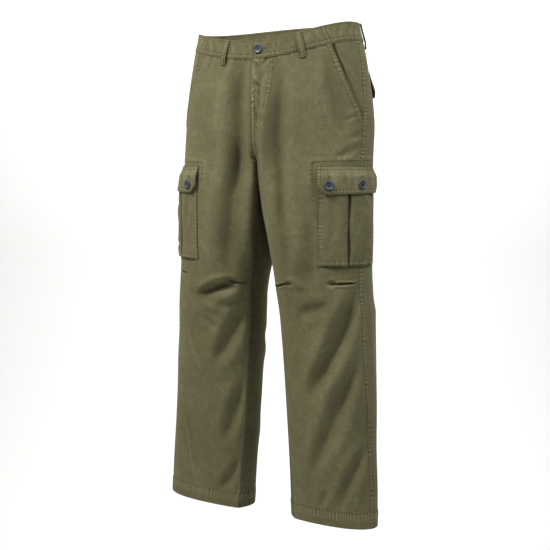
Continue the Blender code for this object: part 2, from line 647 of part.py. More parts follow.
class Builder:
    """Makes the garment's pieces, side by side, in one collection."""

    def __init__(self, collection):
        self.collection = collection
        self.surfaces = {name: LegSurface(name) for name in SIDES}
        self.twill = cloth_material("olive_twill", (0.155, 0.135, 0.075), 0.9)
        self.trim = cloth_material("olive_trim", (0.170, 0.150, 0.085), 0.9)
        self.horn = cloth_material("button_slate", (0.055, 0.062, 0.080), 0.35)

    def sheet(self, name, surface, across, height, lift, wall, material):
        """One wall on a surface: lift is the height of its outer face."""
        outer, normal = surface.points(across, height, lift)
        inner = outer - normal * wall
        outer = clear_sides(outer, surface.side)
        inner = clear_sides(inner, surface.side)
        mesh = shell_mesh(name, outer, inner, surface.side)
        return add_object(name, mesh, self.collection, material)

    def panel_drops(self):
        """Drops of a panel's rows from the waist seam to the hem, closer at fork and knee."""
        start = -BACK_FORK + SEAT_START
        fork = -CROTCH - (-CROTCH - start) * np.linspace(1.0, 0.0, FORK_ROWS) ** 1.5
        fold = -HEM - HEM_FOLD
        return np.concatenate([
            np.linspace(BAND_DEPTH + SEAM_GAP, start, 6)[:-1],
            fork,
            [-BELOW_CROTCH[0]],
            np.linspace(-BELOW_CROTCH[1], -KNEE_TOP, 12)[:-1],
            np.linspace(-KNEE_TOP, -KNEE_FOOT, 8)[:-1],
            np.linspace(-KNEE_FOOT, fold, 15),
            [fold + HEM_TURN, fold + HEM_FOLD / 2, -HEM],
        ])

    def panel(self, side_name, part):
        """Front or back panel, waist seam to hem, with the hem's turned layer at its foot."""
        surface = self.surfaces[side_name]
        drop = self.panel_drops()[:, None]
        share = np.linspace(0.0, 1.0, PANEL_COLUMNS)[None, :]
        gap = SEAM_GAP / 2
        if part == "front":
            across, height = lay_out(
                surface, drop, share,
                lambda z: np.where(z > MOUTH_END, mouth_line(z, side_name), 0.0) + gap,
                lambda z: surface.front(z) - gap)
        else:
            across, height = lay_out(
                surface, drop, share[:, ::-1], lambda z: -gap + 0 * z,
                lambda z: gap - surface.back(z))
        in_hem = drop > -HEM - HEM_FOLD + HEM_TURN / 2
        hem = np.where(in_hem, HEM_STEP, 0.0) * np.ones_like(height)
        wall = (WALL + 2 * hem)[..., None]
        return self.sheet(f"{part}_{side_name}", surface, across, height, hem, wall, self.twill)

    def hip_panel(self, side_name):
        """Piece of the hip that fills the slant pocket's mouth and runs on under the front."""
        surface = self.surfaces[side_name]
        drop = np.linspace(BAND_DEPTH + SEAM_GAP, MOUTH_FOOT - MOUTH_END, HIP_ROWS)[:, None]
        distance = np.zeros((HIP_ROWS, 1))
        for _ in range(3):
            height = row_height(surface.across(distance, -drop), drop)
            mouth = mouth_line(height, side_name)[:, :1]
            shown = SEAM_GAP / 2 + np.maximum(mouth - MOUTH_RAMP, HEM_TURN / 2) * HIP_SHOWN
            hidden = np.maximum(mouth + MOUTH_UNDERLAP * HIP_HIDDEN, shown[:, -1:] + HEM_TURN / 2)
            distance = np.maximum.accumulate(np.concatenate([shown, hidden], axis=1), axis=1)
        across = surface.across(distance, height)
        height = row_height(across, drop)
        lift = -HIDDEN_STEP * smooth_step((distance - mouth + MOUTH_RAMP) / MOUTH_RAMP_RUN)
        return self.sheet(
            f"hip_panel_{side_name}", surface, surface.across(distance, height), height, lift,
            WALL, self.trim)

    def band_front(self, side_name):
        """Waistband from the pocket mouth to the centre front."""
        surface = self.surfaces[side_name]
        drop = np.linspace(0.0, BAND_DEPTH, BAND_ROWS)[:, None]
        share = np.linspace(0.0, 1.0, FRONT_BAND_COLUMNS)[None, :]
        across, height = lay_out(
            surface, drop, share, lambda z: mouth_line(z, side_name) + SEAM_GAP / 2,
            lambda z: surface.front(z) - SEAM_GAP / 2)
        return self.sheet(
            f"waistband_front_{side_name}", surface, across, height, BAND_LIFT + FRONT_BAND_EXTRA,
            BAND_WALL + FRONT_BAND_EXTRA, self.trim)

    def band_back(self):
        """Waistband from one pocket mouth round the back to the other."""
        drop = np.linspace(0.0, BAND_DEPTH, BAND_ROWS)[:, None]
        share = np.linspace(0.0, 1.0, BACK_BAND_COLUMNS)[None, :]
        halves = []
        for side_name in ("left", "right"):
            surface = self.surfaces[side_name]
            across, height = lay_out(
                surface, drop, share,
                lambda z, side_name=side_name: mouth_line(z, side_name) - SEAM_GAP / 2,
                lambda z, surface=surface: -surface.back(z))
            outer, normal = surface.points(across, height, BAND_LIFT + FRONT_BAND_EXTRA / 2)
            halves.append((outer, outer - normal * BAND_WALL))
        return self.joined_at_back("waistband_back", halves)

    def loop_rows(self):
        """Drops of a belt loop's rows and how far each stands out."""
        foot = BAND_DEPTH + LOOP_BELOW_BAND
        share = np.linspace(0.0, 1.0, LOOP_ROWS)[:, None]
        drop = LOOP_TOP + (foot - LOOP_TOP) * share
        bow = LOOP_BOW * np.sin(np.pi * share) ** 0.8
        return drop, BAND_LIFT + FRONT_BAND_EXTRA + STRAP_GAP + STRAP_WALL + bow

    def belt_loop(self, name, surface, distance):
        """Strip from the band's top edge to below its seam, bowed away from the band."""
        drop, lift = self.loop_rows()
        across = surface.across(distance + LOOP_WIDTH * np.array([[-0.5, 0.0, 0.5]]), -drop)
        height = row_height(across, drop)
        return self.sheet(
            name, surface, across, height, lift * np.ones_like(across), STRAP_WALL, self.trim)

    def back_loop(self):
        """Belt loop over the centre back seam, as wide on one side as on the other."""
        drop, lift = self.loop_rows()
        halves = []
        for surface in (self.surfaces["left"], self.surfaces["right"]):
            distance = LOOP_WIDTH / 2 * np.array([[1.0, 0.0]]) - surface.back(-drop)
            across = surface.across(distance, -drop)
            height = row_height(across, drop)
            outer, normal = surface.points(across, height, lift * np.ones_like(across))
            halves.append((outer, outer - normal * STRAP_WALL))
        return self.joined_at_back("belt_loop_back", halves)

    def joined_at_back(self, name, halves):
        """One wall from a left and a right half that meet at the centre back."""
        layers = []
        for from_left, from_right in zip(*halves):
            from_left[:, -1, 0] = 0.0
            layers.append(np.concatenate([from_left, from_right[:, -2::-1]], axis=1))
        return add_object(
            name, shell_mesh(name, *layers, side=-1), self.collection, self.trim)

    def fly(self):
        """Turned edge of the fly, a strip on the left front beside the centre seam."""
        surface = self.surfaces["left"]
        drop = np.linspace(BAND_DEPTH + 3 * SEAM_GAP, FLY_FOOT, FLY_ROWS)[:, None]
        width = np.linspace(*FLY_WIDTH, FLY_ROWS)[:, None]
        inward = SEAM_GAP + (width - SEAM_GAP) * np.array([[1.0, 0.5, 0.0]])
        across = 1.0 - inward / surface.front(-drop)
        height = row_height(across, drop)
        return self.sheet(
            "fly_flap", surface, across, height, LAYER_GAP + WALL, WALL, self.trim)

    def cargo_pocket(self, side_name):
        """Patch pocket with an inverted box pleat whose two folds meet at a slit."""
        surface = self.surfaces[side_name]
        shift = POCKET_SHIFT[side_name]
        share = np.linspace(0.0, 1.0, POCKET_ROWS)[:, None]
        height = POCKET_TOP + (POCKET_BOTTOM - POCKET_TOP) * share
        puff = POCKET_PUFF[side_name] * np.maximum(np.sin(np.pi * share), 0.0) ** 0.7
        slit = PLEAT_SLIT + PLEAT_OPENING * np.sin(2 * np.pi * share) ** 2
        layers = [LAP + POCKET_WALL * (0.5 + n) + PLEAT_GAP * n for n in range(3)]
        outline = pleat_path(slit, puff, layers)
        middle_across = outline[..., 0] + shift
        lift = outline[..., 1]
        walls = []
        for direction in (1.0, -1.0):
            moved = offset_path(middle_across, lift, direction * POCKET_WALL / 2)
            across = surface.across(moved[..., 0], height)
            walls.append(surface.points(across, height * np.ones_like(across), moved[..., 1])[0])
        mesh = shell_mesh(
            f"cargo_pocket_{side_name}", *walls, side=surface.side, layered=True)
        return add_object(f"cargo_pocket_{side_name}", mesh, self.collection, self.twill)

    def flap(self, name, surface, ends, drops, rise):
        """Pocket flap with cut corners: rise gives its lift from shares down and along it."""
        start, end = ends
        top, bottom = drops
        distance = np.concatenate([
            [start], np.linspace(start + FLAP_CLIP, end - FLAP_CLIP, FLAP_COLUMNS), [end]])[None, :]
        foot_line = np.full(distance.shape, bottom)
        foot_line[0, [0, -1]] += FLAP_CLIP
        down = np.linspace(0.0, 1.0, FLAP_ROWS)[:, None]
        height = top + (foot_line - top) * down
        lift = rise(down, (end - distance) / (end - start))
        across = surface.across(distance, height)
        return self.sheet(name, surface, across, height, lift, FLAP_WALL, self.trim)

    def cargo_flap(self, side_name):
        """Flap of the cargo pocket, sewn above it and lying over its mouth, with its buttons."""
        surface = self.surfaces[side_name]
        start = POCKET_BACK - FLAP_MARGIN + POCKET_SHIFT[side_name]
        end = POCKET_FRONT + FLAP_MARGIN + POCKET_SHIFT[side_name]
        sewn = LAP + FLAP_WALL

        def rise(down, back_share):
            lifted = FLAP_BACK_LIFT[side_name] * smooth_step(2.0 * back_share - 0.6)
            over_pocket = FLAP_OVER_POCKET + lifted
            return sewn + (over_pocket - sewn) * smooth_step(down * FLAP_RISE)

        self.flap(f"cargo_flap_{side_name}", surface, (start, end), (FLAP_TOP, FLAP_BOTTOM), rise)
        for place, spot in (
                ("front", end - FLAP_FRONT_BUTTON_IN),
                ("back", start + FLAP_BACK_BUTTON_IN[side_name])):
            self.button(
                f"cargo_button_{side_name}_{place}", surface, spot, FLAP_BOTTOM + FLAP_BUTTON_UP,
                rise(1.0, (end - spot) / (end - start)) + LAYER_GAP)

    def back_flap(self, side_name):
        """Flap over a back pocket, with its button."""
        surface = self.surfaces[side_name]
        middle = (BACK_FLAP_FRONT + BACK_FLAP_BACK) / 2
        sewn = LAP + FLAP_WALL

        def rise(down, back_share):
            return sewn + BACK_FLAP_LIFT * smooth_step(down * BACK_FLAP_RISE + 0 * back_share)

        self.flap(
            f"back_flap_{side_name}", surface, (BACK_FLAP_BACK, BACK_FLAP_FRONT),
            (BACK_FLAP_TOP, BACK_FLAP_BOTTOM), rise)
        self.button(
            f"back_button_{side_name}", surface, middle, BACK_FLAP_BOTTOM + BACK_FLAP_BUTTON_UP,
            rise(1.0, 0.5) + LAYER_GAP)

    def waist_button(self):
        """Button of the waistband, just inside the centre front edge."""
        surface = self.surfaces["left"]
        across = 1.0 - WAIST_BUTTON_IN / surface.front(-BAND_DEPTH / 2)
        height = float(row_height(across, np.array(BAND_DEPTH / 2)))
        distance = float(surface.distance(np.array(across), np.array(height)))
        self.button(
            "waist_button", surface, distance, height, BAND_LIFT + FRONT_BAND_EXTRA + LAYER_GAP)

    def button(self, name, surface, distance, height, lift):
        """Round button with a raised rim and a sunk middle, square to the cloth under it."""
        across = surface.across(np.array(distance), np.array(height))
        point, normal = surface.points(across, np.array(height), lift)
        mesh = bpy.data.meshes.new(name)
        mesh.from_pydata(
            [(r * BUTTON_RADIUS, 0.0, h * BUTTON_THICKNESS) for r, h in BUTTON_PROFILE],
            [(i, i + 1) for i in range(len(BUTTON_PROFILE) - 1)], [])
        piece = add_object(name, mesh, self.collection, self.horn)
        screw = piece.modifiers.new("turn", "SCREW")
        screw.steps = BUTTON_STEPS
        screw.render_steps = BUTTON_STEPS
        screw.use_merge_vertices = True
        screw.merge_threshold = BUTTON_MERGE
        screw.use_smooth_shade = True
        axis = Vector(normal)
        piece.matrix_world = Matrix.Translation(Vector(point)) @ axis.to_track_quat(
            "Z", "Y").to_matrix().to_4x4()
        return piece


def clear_scene():
    """Remove whatever the scene holds."""
    for item in list(bpy.data.objects):
        bpy.data.objects.remove(item, do_unlink=True)


def main():
    """Build the garment."""
    clear_scene()
    collection = bpy.data.collections.new(COLLECTION)
    bpy.context.scene.collection.children.link(collection)
    builder = Builder(collection)
    builder.band_back()
    builder.back_loop()
    builder.fly()
    for side_name, surface in builder.surfaces.items():
        builder.panel(side_name, "front")
        builder.panel(side_name, "back")
        builder.hip_panel(side_name)
        builder.band_front(side_name)
        builder.belt_loop(f"belt_loop_front_{side_name}", surface, FRONT_LOOP[side_name])
        builder.belt_loop(f"belt_loop_side_{side_name}", surface, SIDE_LOOP)
        builder.cargo_pocket(side_name)
        builder.cargo_flap(side_name)
        builder.back_flap(side_name)
    builder.waist_button()


main()
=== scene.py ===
"""Cargo pants in garment-washed cotton twill, hollow, in the shape they take on the wearer.

Every cloth piece is a thin closed wall cut from one surface for each leg. A place on the cloth is
given by its distance round the leg from the side seam, forward positive, and by its height. Seams
are lines of such places: they raise and pucker the cloth beside them and carry rows of stitches.

Frame: metres, +Z up, the front faces -Y, the wearer's left is +X, the origin is at the waist.
"""

from __future__ import annotations

import logging
from dataclasses import dataclass, field
from enum import Enum
from typing import Callable

import bpy
import numpy as np
from mathutils import Matrix, Vector


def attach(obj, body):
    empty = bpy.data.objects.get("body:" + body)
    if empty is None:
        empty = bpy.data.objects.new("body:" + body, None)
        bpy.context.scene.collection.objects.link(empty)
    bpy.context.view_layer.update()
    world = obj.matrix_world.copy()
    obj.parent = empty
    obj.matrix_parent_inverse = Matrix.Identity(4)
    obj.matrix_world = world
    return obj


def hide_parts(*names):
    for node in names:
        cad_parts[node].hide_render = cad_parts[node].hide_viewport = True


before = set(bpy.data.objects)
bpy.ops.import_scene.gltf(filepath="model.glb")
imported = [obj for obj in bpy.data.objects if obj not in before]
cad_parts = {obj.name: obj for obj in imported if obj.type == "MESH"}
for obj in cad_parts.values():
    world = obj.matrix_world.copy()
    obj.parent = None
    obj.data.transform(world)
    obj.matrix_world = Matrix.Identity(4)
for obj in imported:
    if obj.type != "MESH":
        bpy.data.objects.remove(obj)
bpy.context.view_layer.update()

Array = np.ndarray
Line = Callable[[Array], Array]
Lift = Callable[[Array, Array], Array]
LOG = logging.getLogger("cargo_pants")
BODY = "root"


class Side(Enum):
    """The wearer's side, with its sign along x."""

    RIGHT = -1
    LEFT = 1

    @property
    def word(self) -> str:
        """The side's name as it stands in a piece's name."""
        return self.name.lower()


class Part(Enum):
    """Which half of a leg a panel covers."""

    FRONT = "front"
    BACK = "back"


class Slot(Enum):
    """Material slots of the record."""

    TWILL = "twill"
    TRIM = "trim"
    BUTTON = "button"


# --- Sizes that several pieces share, in metres ---

SEAM_GAP = 0.0003
LAP = 0.0007
LAYER_GAP = 0.0003
PANEL_WALL = 0.0014
STRAP_WALL = 0.0016
BAND_LIFT = 0.0008
FRONT_BAND_EXTRA = 0.0004
BAND_DEPTH = 0.037
FRONT_DIP = 0.034
BACK_RISE = 0.015
DIP_FADE = 0.14
DIP_POWER = 1.5
HEM = -1.024
HEM_FOLD = 0.034
HEM_TURN = 0.002
HEM_DROP_INSIDE = 0.012
HEM_DROP = {Side.RIGHT: 0.004, Side.LEFT: 0.0}
HEM_DROP_START = -0.700
FRONT_FORK = -0.222
BACK_FORK = -0.120
CROTCH = -0.272
BLEND_START = -0.190
BLEND_END = -0.345
EDGE_POWER = 12
FORK_SOFTNESS = 2.2
MOUTH_TOP = {Side.RIGHT: 0.086, Side.LEFT: 0.066}
MOUTH_END = -0.190
MOUTH_BOW = 0.012
INNER_CORNER = 0.006
POCKET_FRONT = 0.086
POCKET_BACK = -0.052
POCKET_TOP = -0.312
POCKET_BOTTOM = -0.480
POCKET_SHIFT = {Side.RIGHT: 0.010, Side.LEFT: 0.0}
FLAP_TOP = -0.283
FLAP_BOTTOM = -0.3385
FLAP_MARGIN = 0.002
HOLE_ABOVE = 0.0105
HOLE_LENGTH = 0.013
SHARP_ANGLE = 50.0
# Marks that tint the cloth: puckers, stitch rows and rubbed cloth. They also paint shade: darker
# pucker valleys and stitch rows, dark shadow lines along edges, and shade and highlight over the
# folds.
MARKS = ("rope", "sewn", "worn")
CLOSE_COLUMNS = (
    0.0, 0.0007, 0.0015, 0.0023, 0.0032, 0.0042, 0.0052, 0.0062, 0.0072, 0.0082, 0.0094)
BAND_COLUMNS = (0.0, 0.0008, 0.0018, 0.0030)


def smooth_step(value: Array) -> Array:
    """Ease from 0 to 1 with level ends: 3 t squared less 2 t cubed."""
    t = np.clip(value, 0.0, 1.0)
    return t * t * (3.0 - 2.0 * t)


# --- The surface of the cloth ---


@dataclass(frozen=True)
class TrunkSection:
    """Half ring of the trunk: half width, depths in front and behind, and the side seam's angle."""

    height: float
    half_width: float
    front: float
    back: float
    outseam: float


@dataclass(frozen=True)
class LegSection:
    """Whole ring of a leg: a turned rounded square, its seams' angles, its gap to the other leg."""

    height: float
    centre_x: float
    centre_y: float
    half_width: float
    half_depth: float
    turn: float
    power: float
    outseam: float
    inseam: float
    slit: float


TRUNK = tuple(TrunkSection(*row) for row in (
    (0.020, 0.179, 0.100, 0.097, 10),
    (-0.010, 0.183, 0.101, 0.100, 10),
    (-0.045, 0.193, 0.102, 0.105, 10),
    (-0.085, 0.201, 0.106, 0.113, 10),
    (-0.125, 0.208, 0.110, 0.120, 12),
    (-0.170, 0.214, 0.112, 0.125, 14),
    (-0.225, 0.218, 0.113, 0.125, 17),
    (-0.280, 0.220, 0.111, 0.120, 19),
    (-0.350, 0.221, 0.108, 0.112, 23),
))

LEG = tuple(LegSection(*row) for row in (
    (-0.180, 0.087, -0.004, 0.123, 0.112, 5, 2.2, 15, 140, 0.0004),
    (-0.235, 0.089, -0.005, 0.122, 0.110, 7, 2.25, 17, 140, 0.0004),
    (-0.295, 0.092, -0.006, 0.120, 0.107, 10, 2.3, 20, 142, 0.0012),
    (-0.345, 0.099, -0.008, 0.117, 0.102, 18, 2.6, 23, 145, 0.0030),
    (-0.405, 0.106, -0.012, 0.112, 0.096, 24, 2.8, 26, 149, 0.0050),
    (-0.455, 0.112, -0.014, 0.107, 0.091, 24, 2.8, 26, 153, 0.0070),
    (-0.505, 0.118, -0.016, 0.102, 0.085, 19, 2.6, 26, 155, 0.0090),
    (-0.545, 0.123, -0.018, 0.1005, 0.081, 11, 2.4, 26, 155, 0.0100),
    (-0.585, 0.127, -0.015, 0.101, 0.079, 4, 2.3, 27, 154, 0.0100),
    (-0.645, 0.130, -0.013, 0.101, 0.077, 0, 2.2, 27, 152, 0.0100),
    (-0.705, 0.134, -0.015, 0.101, 0.073, -2, 2.15, 26, 152, 0.0100),
    (-0.785, 0.138, -0.016, 0.101, 0.068, -3, 2.1, 24, 151, 0.0100),
    (-0.865, 0.142, -0.019, 0.101, 0.062, -5, 2.05, 24, 150, 0.0100),
    (-0.945, 0.147, -0.022, 0.102, 0.055, -5, 2.0, 26, 147, 0.0100),
    (-1.040, 0.151, -0.026, 0.102, 0.048, -6, 2.0, 28, 145, 0.0100),
))


@dataclass(frozen=True)
class Fold:
    """Soft trough from one place to another; a negative depth is a ridge.

    The ends are distances forward of the side seam and heights. The middle bows sideways, a lower
    power gives a sharper crease, and skew narrows the side to the right of the fold's direction.
    """

    round_a: float
    height_a: float
    round_b: float
    height_b: float
    bow: float
    half_width: float
    depth: float
    power: float = 2.0
    skew: float = 1.0

    # The trough is SWELL[0] of its width at its ends and SWELL[1] more in its middle, and low
    # shoulders rise beside it.
    SWELL = (0.75, 0.45)
    SHOULDER = 0.35
    SHOULDER_OUT = 1.9
    END_FADE = 1.5

    @classmethod
    def in_mm(cls, *row: float) -> Fold:
        """Fold from a row in millimetres; what follows its depth has no unit."""
        return cls(*(value / 1000 for value in row[:7]), *row[7:])

    def trough(self, distance: Array, height: Array) -> Array:
        """Depth at each place: a bell across the fold with shoulders, faded towards its ends.

        Args:
            distance: distances forward of the side seam.
            height: heights.

        Returns:
            How far the cloth goes in.
        """
        run = np.array([self.round_b - self.round_a, self.height_b - self.height_a])
        length = np.hypot(*run)
        unit = run / length
        right = distance - self.round_a
        up = height - self.height_a
        along = (right * unit[0] + up * unit[1]) / length
        bow = 4.0 * self.bow * along * (1.0 - along)
        swell = self.SWELL[0] + self.SWELL[1] * np.sin(np.pi * np.clip(along, 0.0, 1.0))
        off = (up * unit[0] - right * unit[1] - bow) / (self.half_width * swell)
        off = np.where(off < 0.0, -off * self.skew, off)
        shoulder = self.SHOULDER * np.exp(-(off - self.SHOULDER_OUT) ** 2)
        shape = np.exp(-off ** self.power) - shoulder
        return self.depth * shape * smooth_step(
            (1.0 - np.abs(2.0 * along - 1.0)) * self.END_FADE)


# Folds of the cloth on the wearer in millimetres: distance and height of each end, bow, half
# width and depth; then power and skew where they aren't the usual ones.
FOLDS = {
    Side.RIGHT: tuple(Fold.in_mm(*row) for row in (
        (202, -50, 192, -360, 3, 17, 15),
        (197, -220, 165, -540, 3, 17, 13),
        (228, -262, 220, -515, 0, 12.5, -7.5),
        (216, -531.5, 148, -520.5, 0, 2.6, 4.6, 1.6, 2.0),
        (192, -522.5, 80, -563, -3, 14, 13, 2.0, 1.8),
        (196, -546, 126, -556, 0, 9, -3.2),
        (90, -562, 172, -580, -2, 8, 2.2),
        (160, -580, 206, -544, 0, 6, 2.8),
        (198, -574, 126, -722, 0, 13, 9.2),
        (202, -732, 152, -898, 0, 13, 8),
        (194, -920, 142, -1005, 0, 10, 6),
        (100, -601, 138, -634, 0, 6, 2.8),
        (28, -505, 118, -615, -2, 3.2, -3.6, 1.4),
        (16, -575, 102, -730, 2, 3.2, -3.6, 1.4),
        (34, -765, 85, -995, 5, 3.2, -3.6, 1.4),
        (53, -513.5, 1, -511.5, 0, 3, 4.6, 1.6, 2.0),
        (168, -60, 158, -118, 0, 6, 1.6),
        (184, -58, 191, -104, 0, 5, 1.4),
        (118, -52, 108, -100, 2, 6, 1.4),
        (-60, -560, -200, -620, 12, 13, 7.5),
        (-300, -500, -160, -560, -10, 14, 8),
        (-310, -640, -170, -760, 12, 14, 8),
        (-80, -700, -170, -860, -12, 13, 7),
        (-260, -820, -180, -960, 8, 13, 6.5),
        (-120, -330, -300, -300, 10, 18, 5),
        (-232, -90, -215, -280, -6, 14, 4),
        (-100, -60, -115, -95, 2, 6, 1.4),
        (-340, -300, -330, -480, 6, 16, 6),
    )),
    Side.LEFT: tuple(Fold.in_mm(*row) for row in (
        (170, -70, 158, -425, 9, 13, 13),
        (196, -130, 200, -350, 6, 8, -3.4),
        (166, -320, 148, -505, 0, 14, 7),
        (72, -62, 20, -242, 11, 11, 6.6),
        (6, -181, 42, -196, 0, 3, 1.4, 1.6),
        (60, -270, -4, -238, 2, 6, 1.8),
        (30, -232, -6, -214, 1, 5, 1.2),
        (46, -58, 16, -112, 0, 4, 1.8),
        (184, -66, 209, -90, 1, 3, 2),
        (203, -80, 214, -190, 4, 4, 2.4),
        (221, -118, 211, -134, 0, 3, 2),
        (224, -136, 212, -160, 0, 3, -1.8),
        (202, -100, 209, -200, 3, 4, -1.6),
        (222, -178, 202, -204, 0, 4, 2.4, 1.6),
        (226, -150, 214, -206, 3, 3, 3),
        (152, -55, 141, -105, 1, 6, 1.6),
        (172, -62, 178, -120, 1, 5, 1.4),
        (100, -48, 90, -92, 1, 6, 1.4),
        (108, -380, 98, -540, -3, 12, 5.5),
        (152, -503, 112, -532, 0, 8, -3),
        (216, -535, 142, -516.5, 0, 2.7, 5.2, 1.6, 2.2),
        (158, -521.5, 136, -518.5, 0, 4, 4),
        (62, -516.5, -2, -514.5, 0, 2.7, 5.4, 1.6, 2.2),
        (66, -515, 48, -519, 0, 4.2, 4.4),
        (2, -510, 134, -775, -12, 13.5, 14),
        (138, -585, 58, -555, 2, 10, 3.6),
        (2, -632, 138, -952, -2, 13, 10.8),
        (4, -845, 72, -1000, 1, 10, 7.5),
        (86, -945, 109, -995, 0, 6, 2.4),
        (44, -950, 59, -992, 0, 5, 2.2),
        (25, -944, 43, -988, 0, 5, 2.2),
        (-32, -560, -34, -740, 2, 8, -2.5),
        (-70, -545, -210, -610, 10, 13, 7.5),
        (-300, -510, -150, -580, -12, 14, 8),
        (-300, -660, -180, -770, 10, 14, 8),
        (-80, -690, -190, -850, -10, 13, 7),
        (-250, -840, -160, -970, 8, 13, 6.5),
        (-110, -335, -310, -310, 12, 18, 5),
        (-228, -85, -222, -270, -5, 14, 4),
        (-120, -62, -128, -95, 2, 6, 1.4),
        (-335, -310, -345, -470, -6, 16, 6),
    )),
}


def column(sections: tuple, name: str, height: Array) -> Array:
    """Read one column of a section table at any height, as a cubic curve through its rows.

    Args:
        sections: the table's rows.
        name: the column's name.
        height: heights to read at.

    Returns:
        The column's values.
    """
    order = sorted(sections, key=lambda row: row.height)
    knots = np.array([row.height for row in order])
    values = np.array([getattr(row, name) for row in order], dtype=float)
    slopes = np.gradient(values, knots)
    height = np.clip(height, knots[0], knots[-1])
    left = np.clip(np.searchsorted(knots, height, side="right") - 1, 0, len(knots) - 2)
    span = knots[left + 1] - knots[left]
    t = (height - knots[left]) / span
    return (
        values[left] * (1 + 2 * t) * (1 - t) ** 2
        + values[left + 1] * t * t * (3 - 2 * t)
        + span * slopes[left] * t * (1 - t) ** 2
        - span * slopes[left + 1] * t * t * (1 - t)
    )


def trunk_ring(across: Array, height: Array) -> tuple[Array, Array]:
    """Half ring of the trunk, an ellipse: across is -1 at the back seam and 1 at the front seam.

    Args:
        across: share of the panel.
        height: heights.

    Returns:
        x and y.
    """
    seam = np.radians(column(TRUNK, "outseam", height))
    quarter = np.pi / 2
    angle = np.where(across > 0, seam + (quarter - seam) * across, seam + (quarter + seam) * across)
    depth = np.where(angle > 0, column(TRUNK, "front", height), column(TRUNK, "back", height))
    return column(TRUNK, "half_width", height) * np.cos(angle), -depth * np.sin(angle)


def leg_ring(across: Array, height: Array) -> tuple[Array, Array]:
    """Whole ring of a leg, a turned superellipse that stays clear of the other leg.

    Args:
        across: share of the panel, -1 and 1 at the inseam.
        height: heights.

    Returns:
        x and y.
    """
    seam = np.radians(column(LEG, "outseam", height))
    inner = np.radians(column(LEG, "inseam", height))
    behind = 2 * np.pi - inner + seam
    angle = seam + np.where(across > 0, inner - seam, behind) * across
    turn = np.radians(column(LEG, "turn", height))
    power = 2.0 / column(LEG, "power", height)
    cosine = np.cos(angle + turn)
    sine = np.sin(angle + turn)
    along = column(LEG, "half_width", height) * np.sign(cosine) * np.abs(cosine) ** power
    out = column(LEG, "half_depth", height) * np.sign(sine) * np.abs(sine) ** power
    x = column(LEG, "centre_x", height) + along * np.cos(turn) + out * np.sin(turn)
    y = column(LEG, "centre_y", height) + along * np.sin(turn) - out * np.cos(turn)
    slit = column(LEG, "slit", height)
    room = (x - slit) / INNER_CORNER
    x = slit + INNER_CORNER * (np.logaddexp(0.0, room) - np.log(2.0) * np.exp(-room ** 2))
    return np.maximum(x, slit), y


def fork_turn(across: Array, height: Array) -> Array:
    """How far the crotch seam has turned under: a quarter circle, averaged away from the seam.

    Args:
        across: share of the panel.
        height: heights.

    Returns:
        0 above the fork to 1 below it.
    """
    fork = np.where(across > 0, FRONT_FORK, BACK_FORK)
    turned = (fork - height) / (fork - CROTCH)
    span = 0.001 + FORK_SOFTNESS * (1.0 - np.abs(across)) ** 0.7
    total = np.zeros_like(turned)
    for sign in (1.0, -1.0):
        place = turned + sign * span
        arc = np.clip(place, 0.0, 1.0)
        area = arc - (arc * np.sqrt(1.0 - arc ** 2) + np.arcsin(arc)) / 2
        total = total + sign * (area + np.maximum(place - 1.0, 0.0))
    return total / (2 * span)


def ring(across: Array, height: Array, seam_turn: float = 1.0) -> tuple[Array, Array]:
    """Trunk ring blended into leg ring; near its edges the blend follows the crotch seam.

    Args:
        across: share of the panel.
        height: heights.
        seam_turn: 0 blends the edges as the side does.

    Returns:
        x and y.
    """
    trunk_x, trunk_y = trunk_ring(across, height)
    leg_x, leg_y = leg_ring(across, height)
    at_side = smooth_step((BLEND_START - height) / (BLEND_START - BLEND_END))
    edge_share = seam_turn * np.abs(across) ** EDGE_POWER
    share = at_side + (fork_turn(across, height) - at_side) * edge_share
    return trunk_x + (leg_x - trunk_x) * share, trunk_y + (leg_y - trunk_y) * share


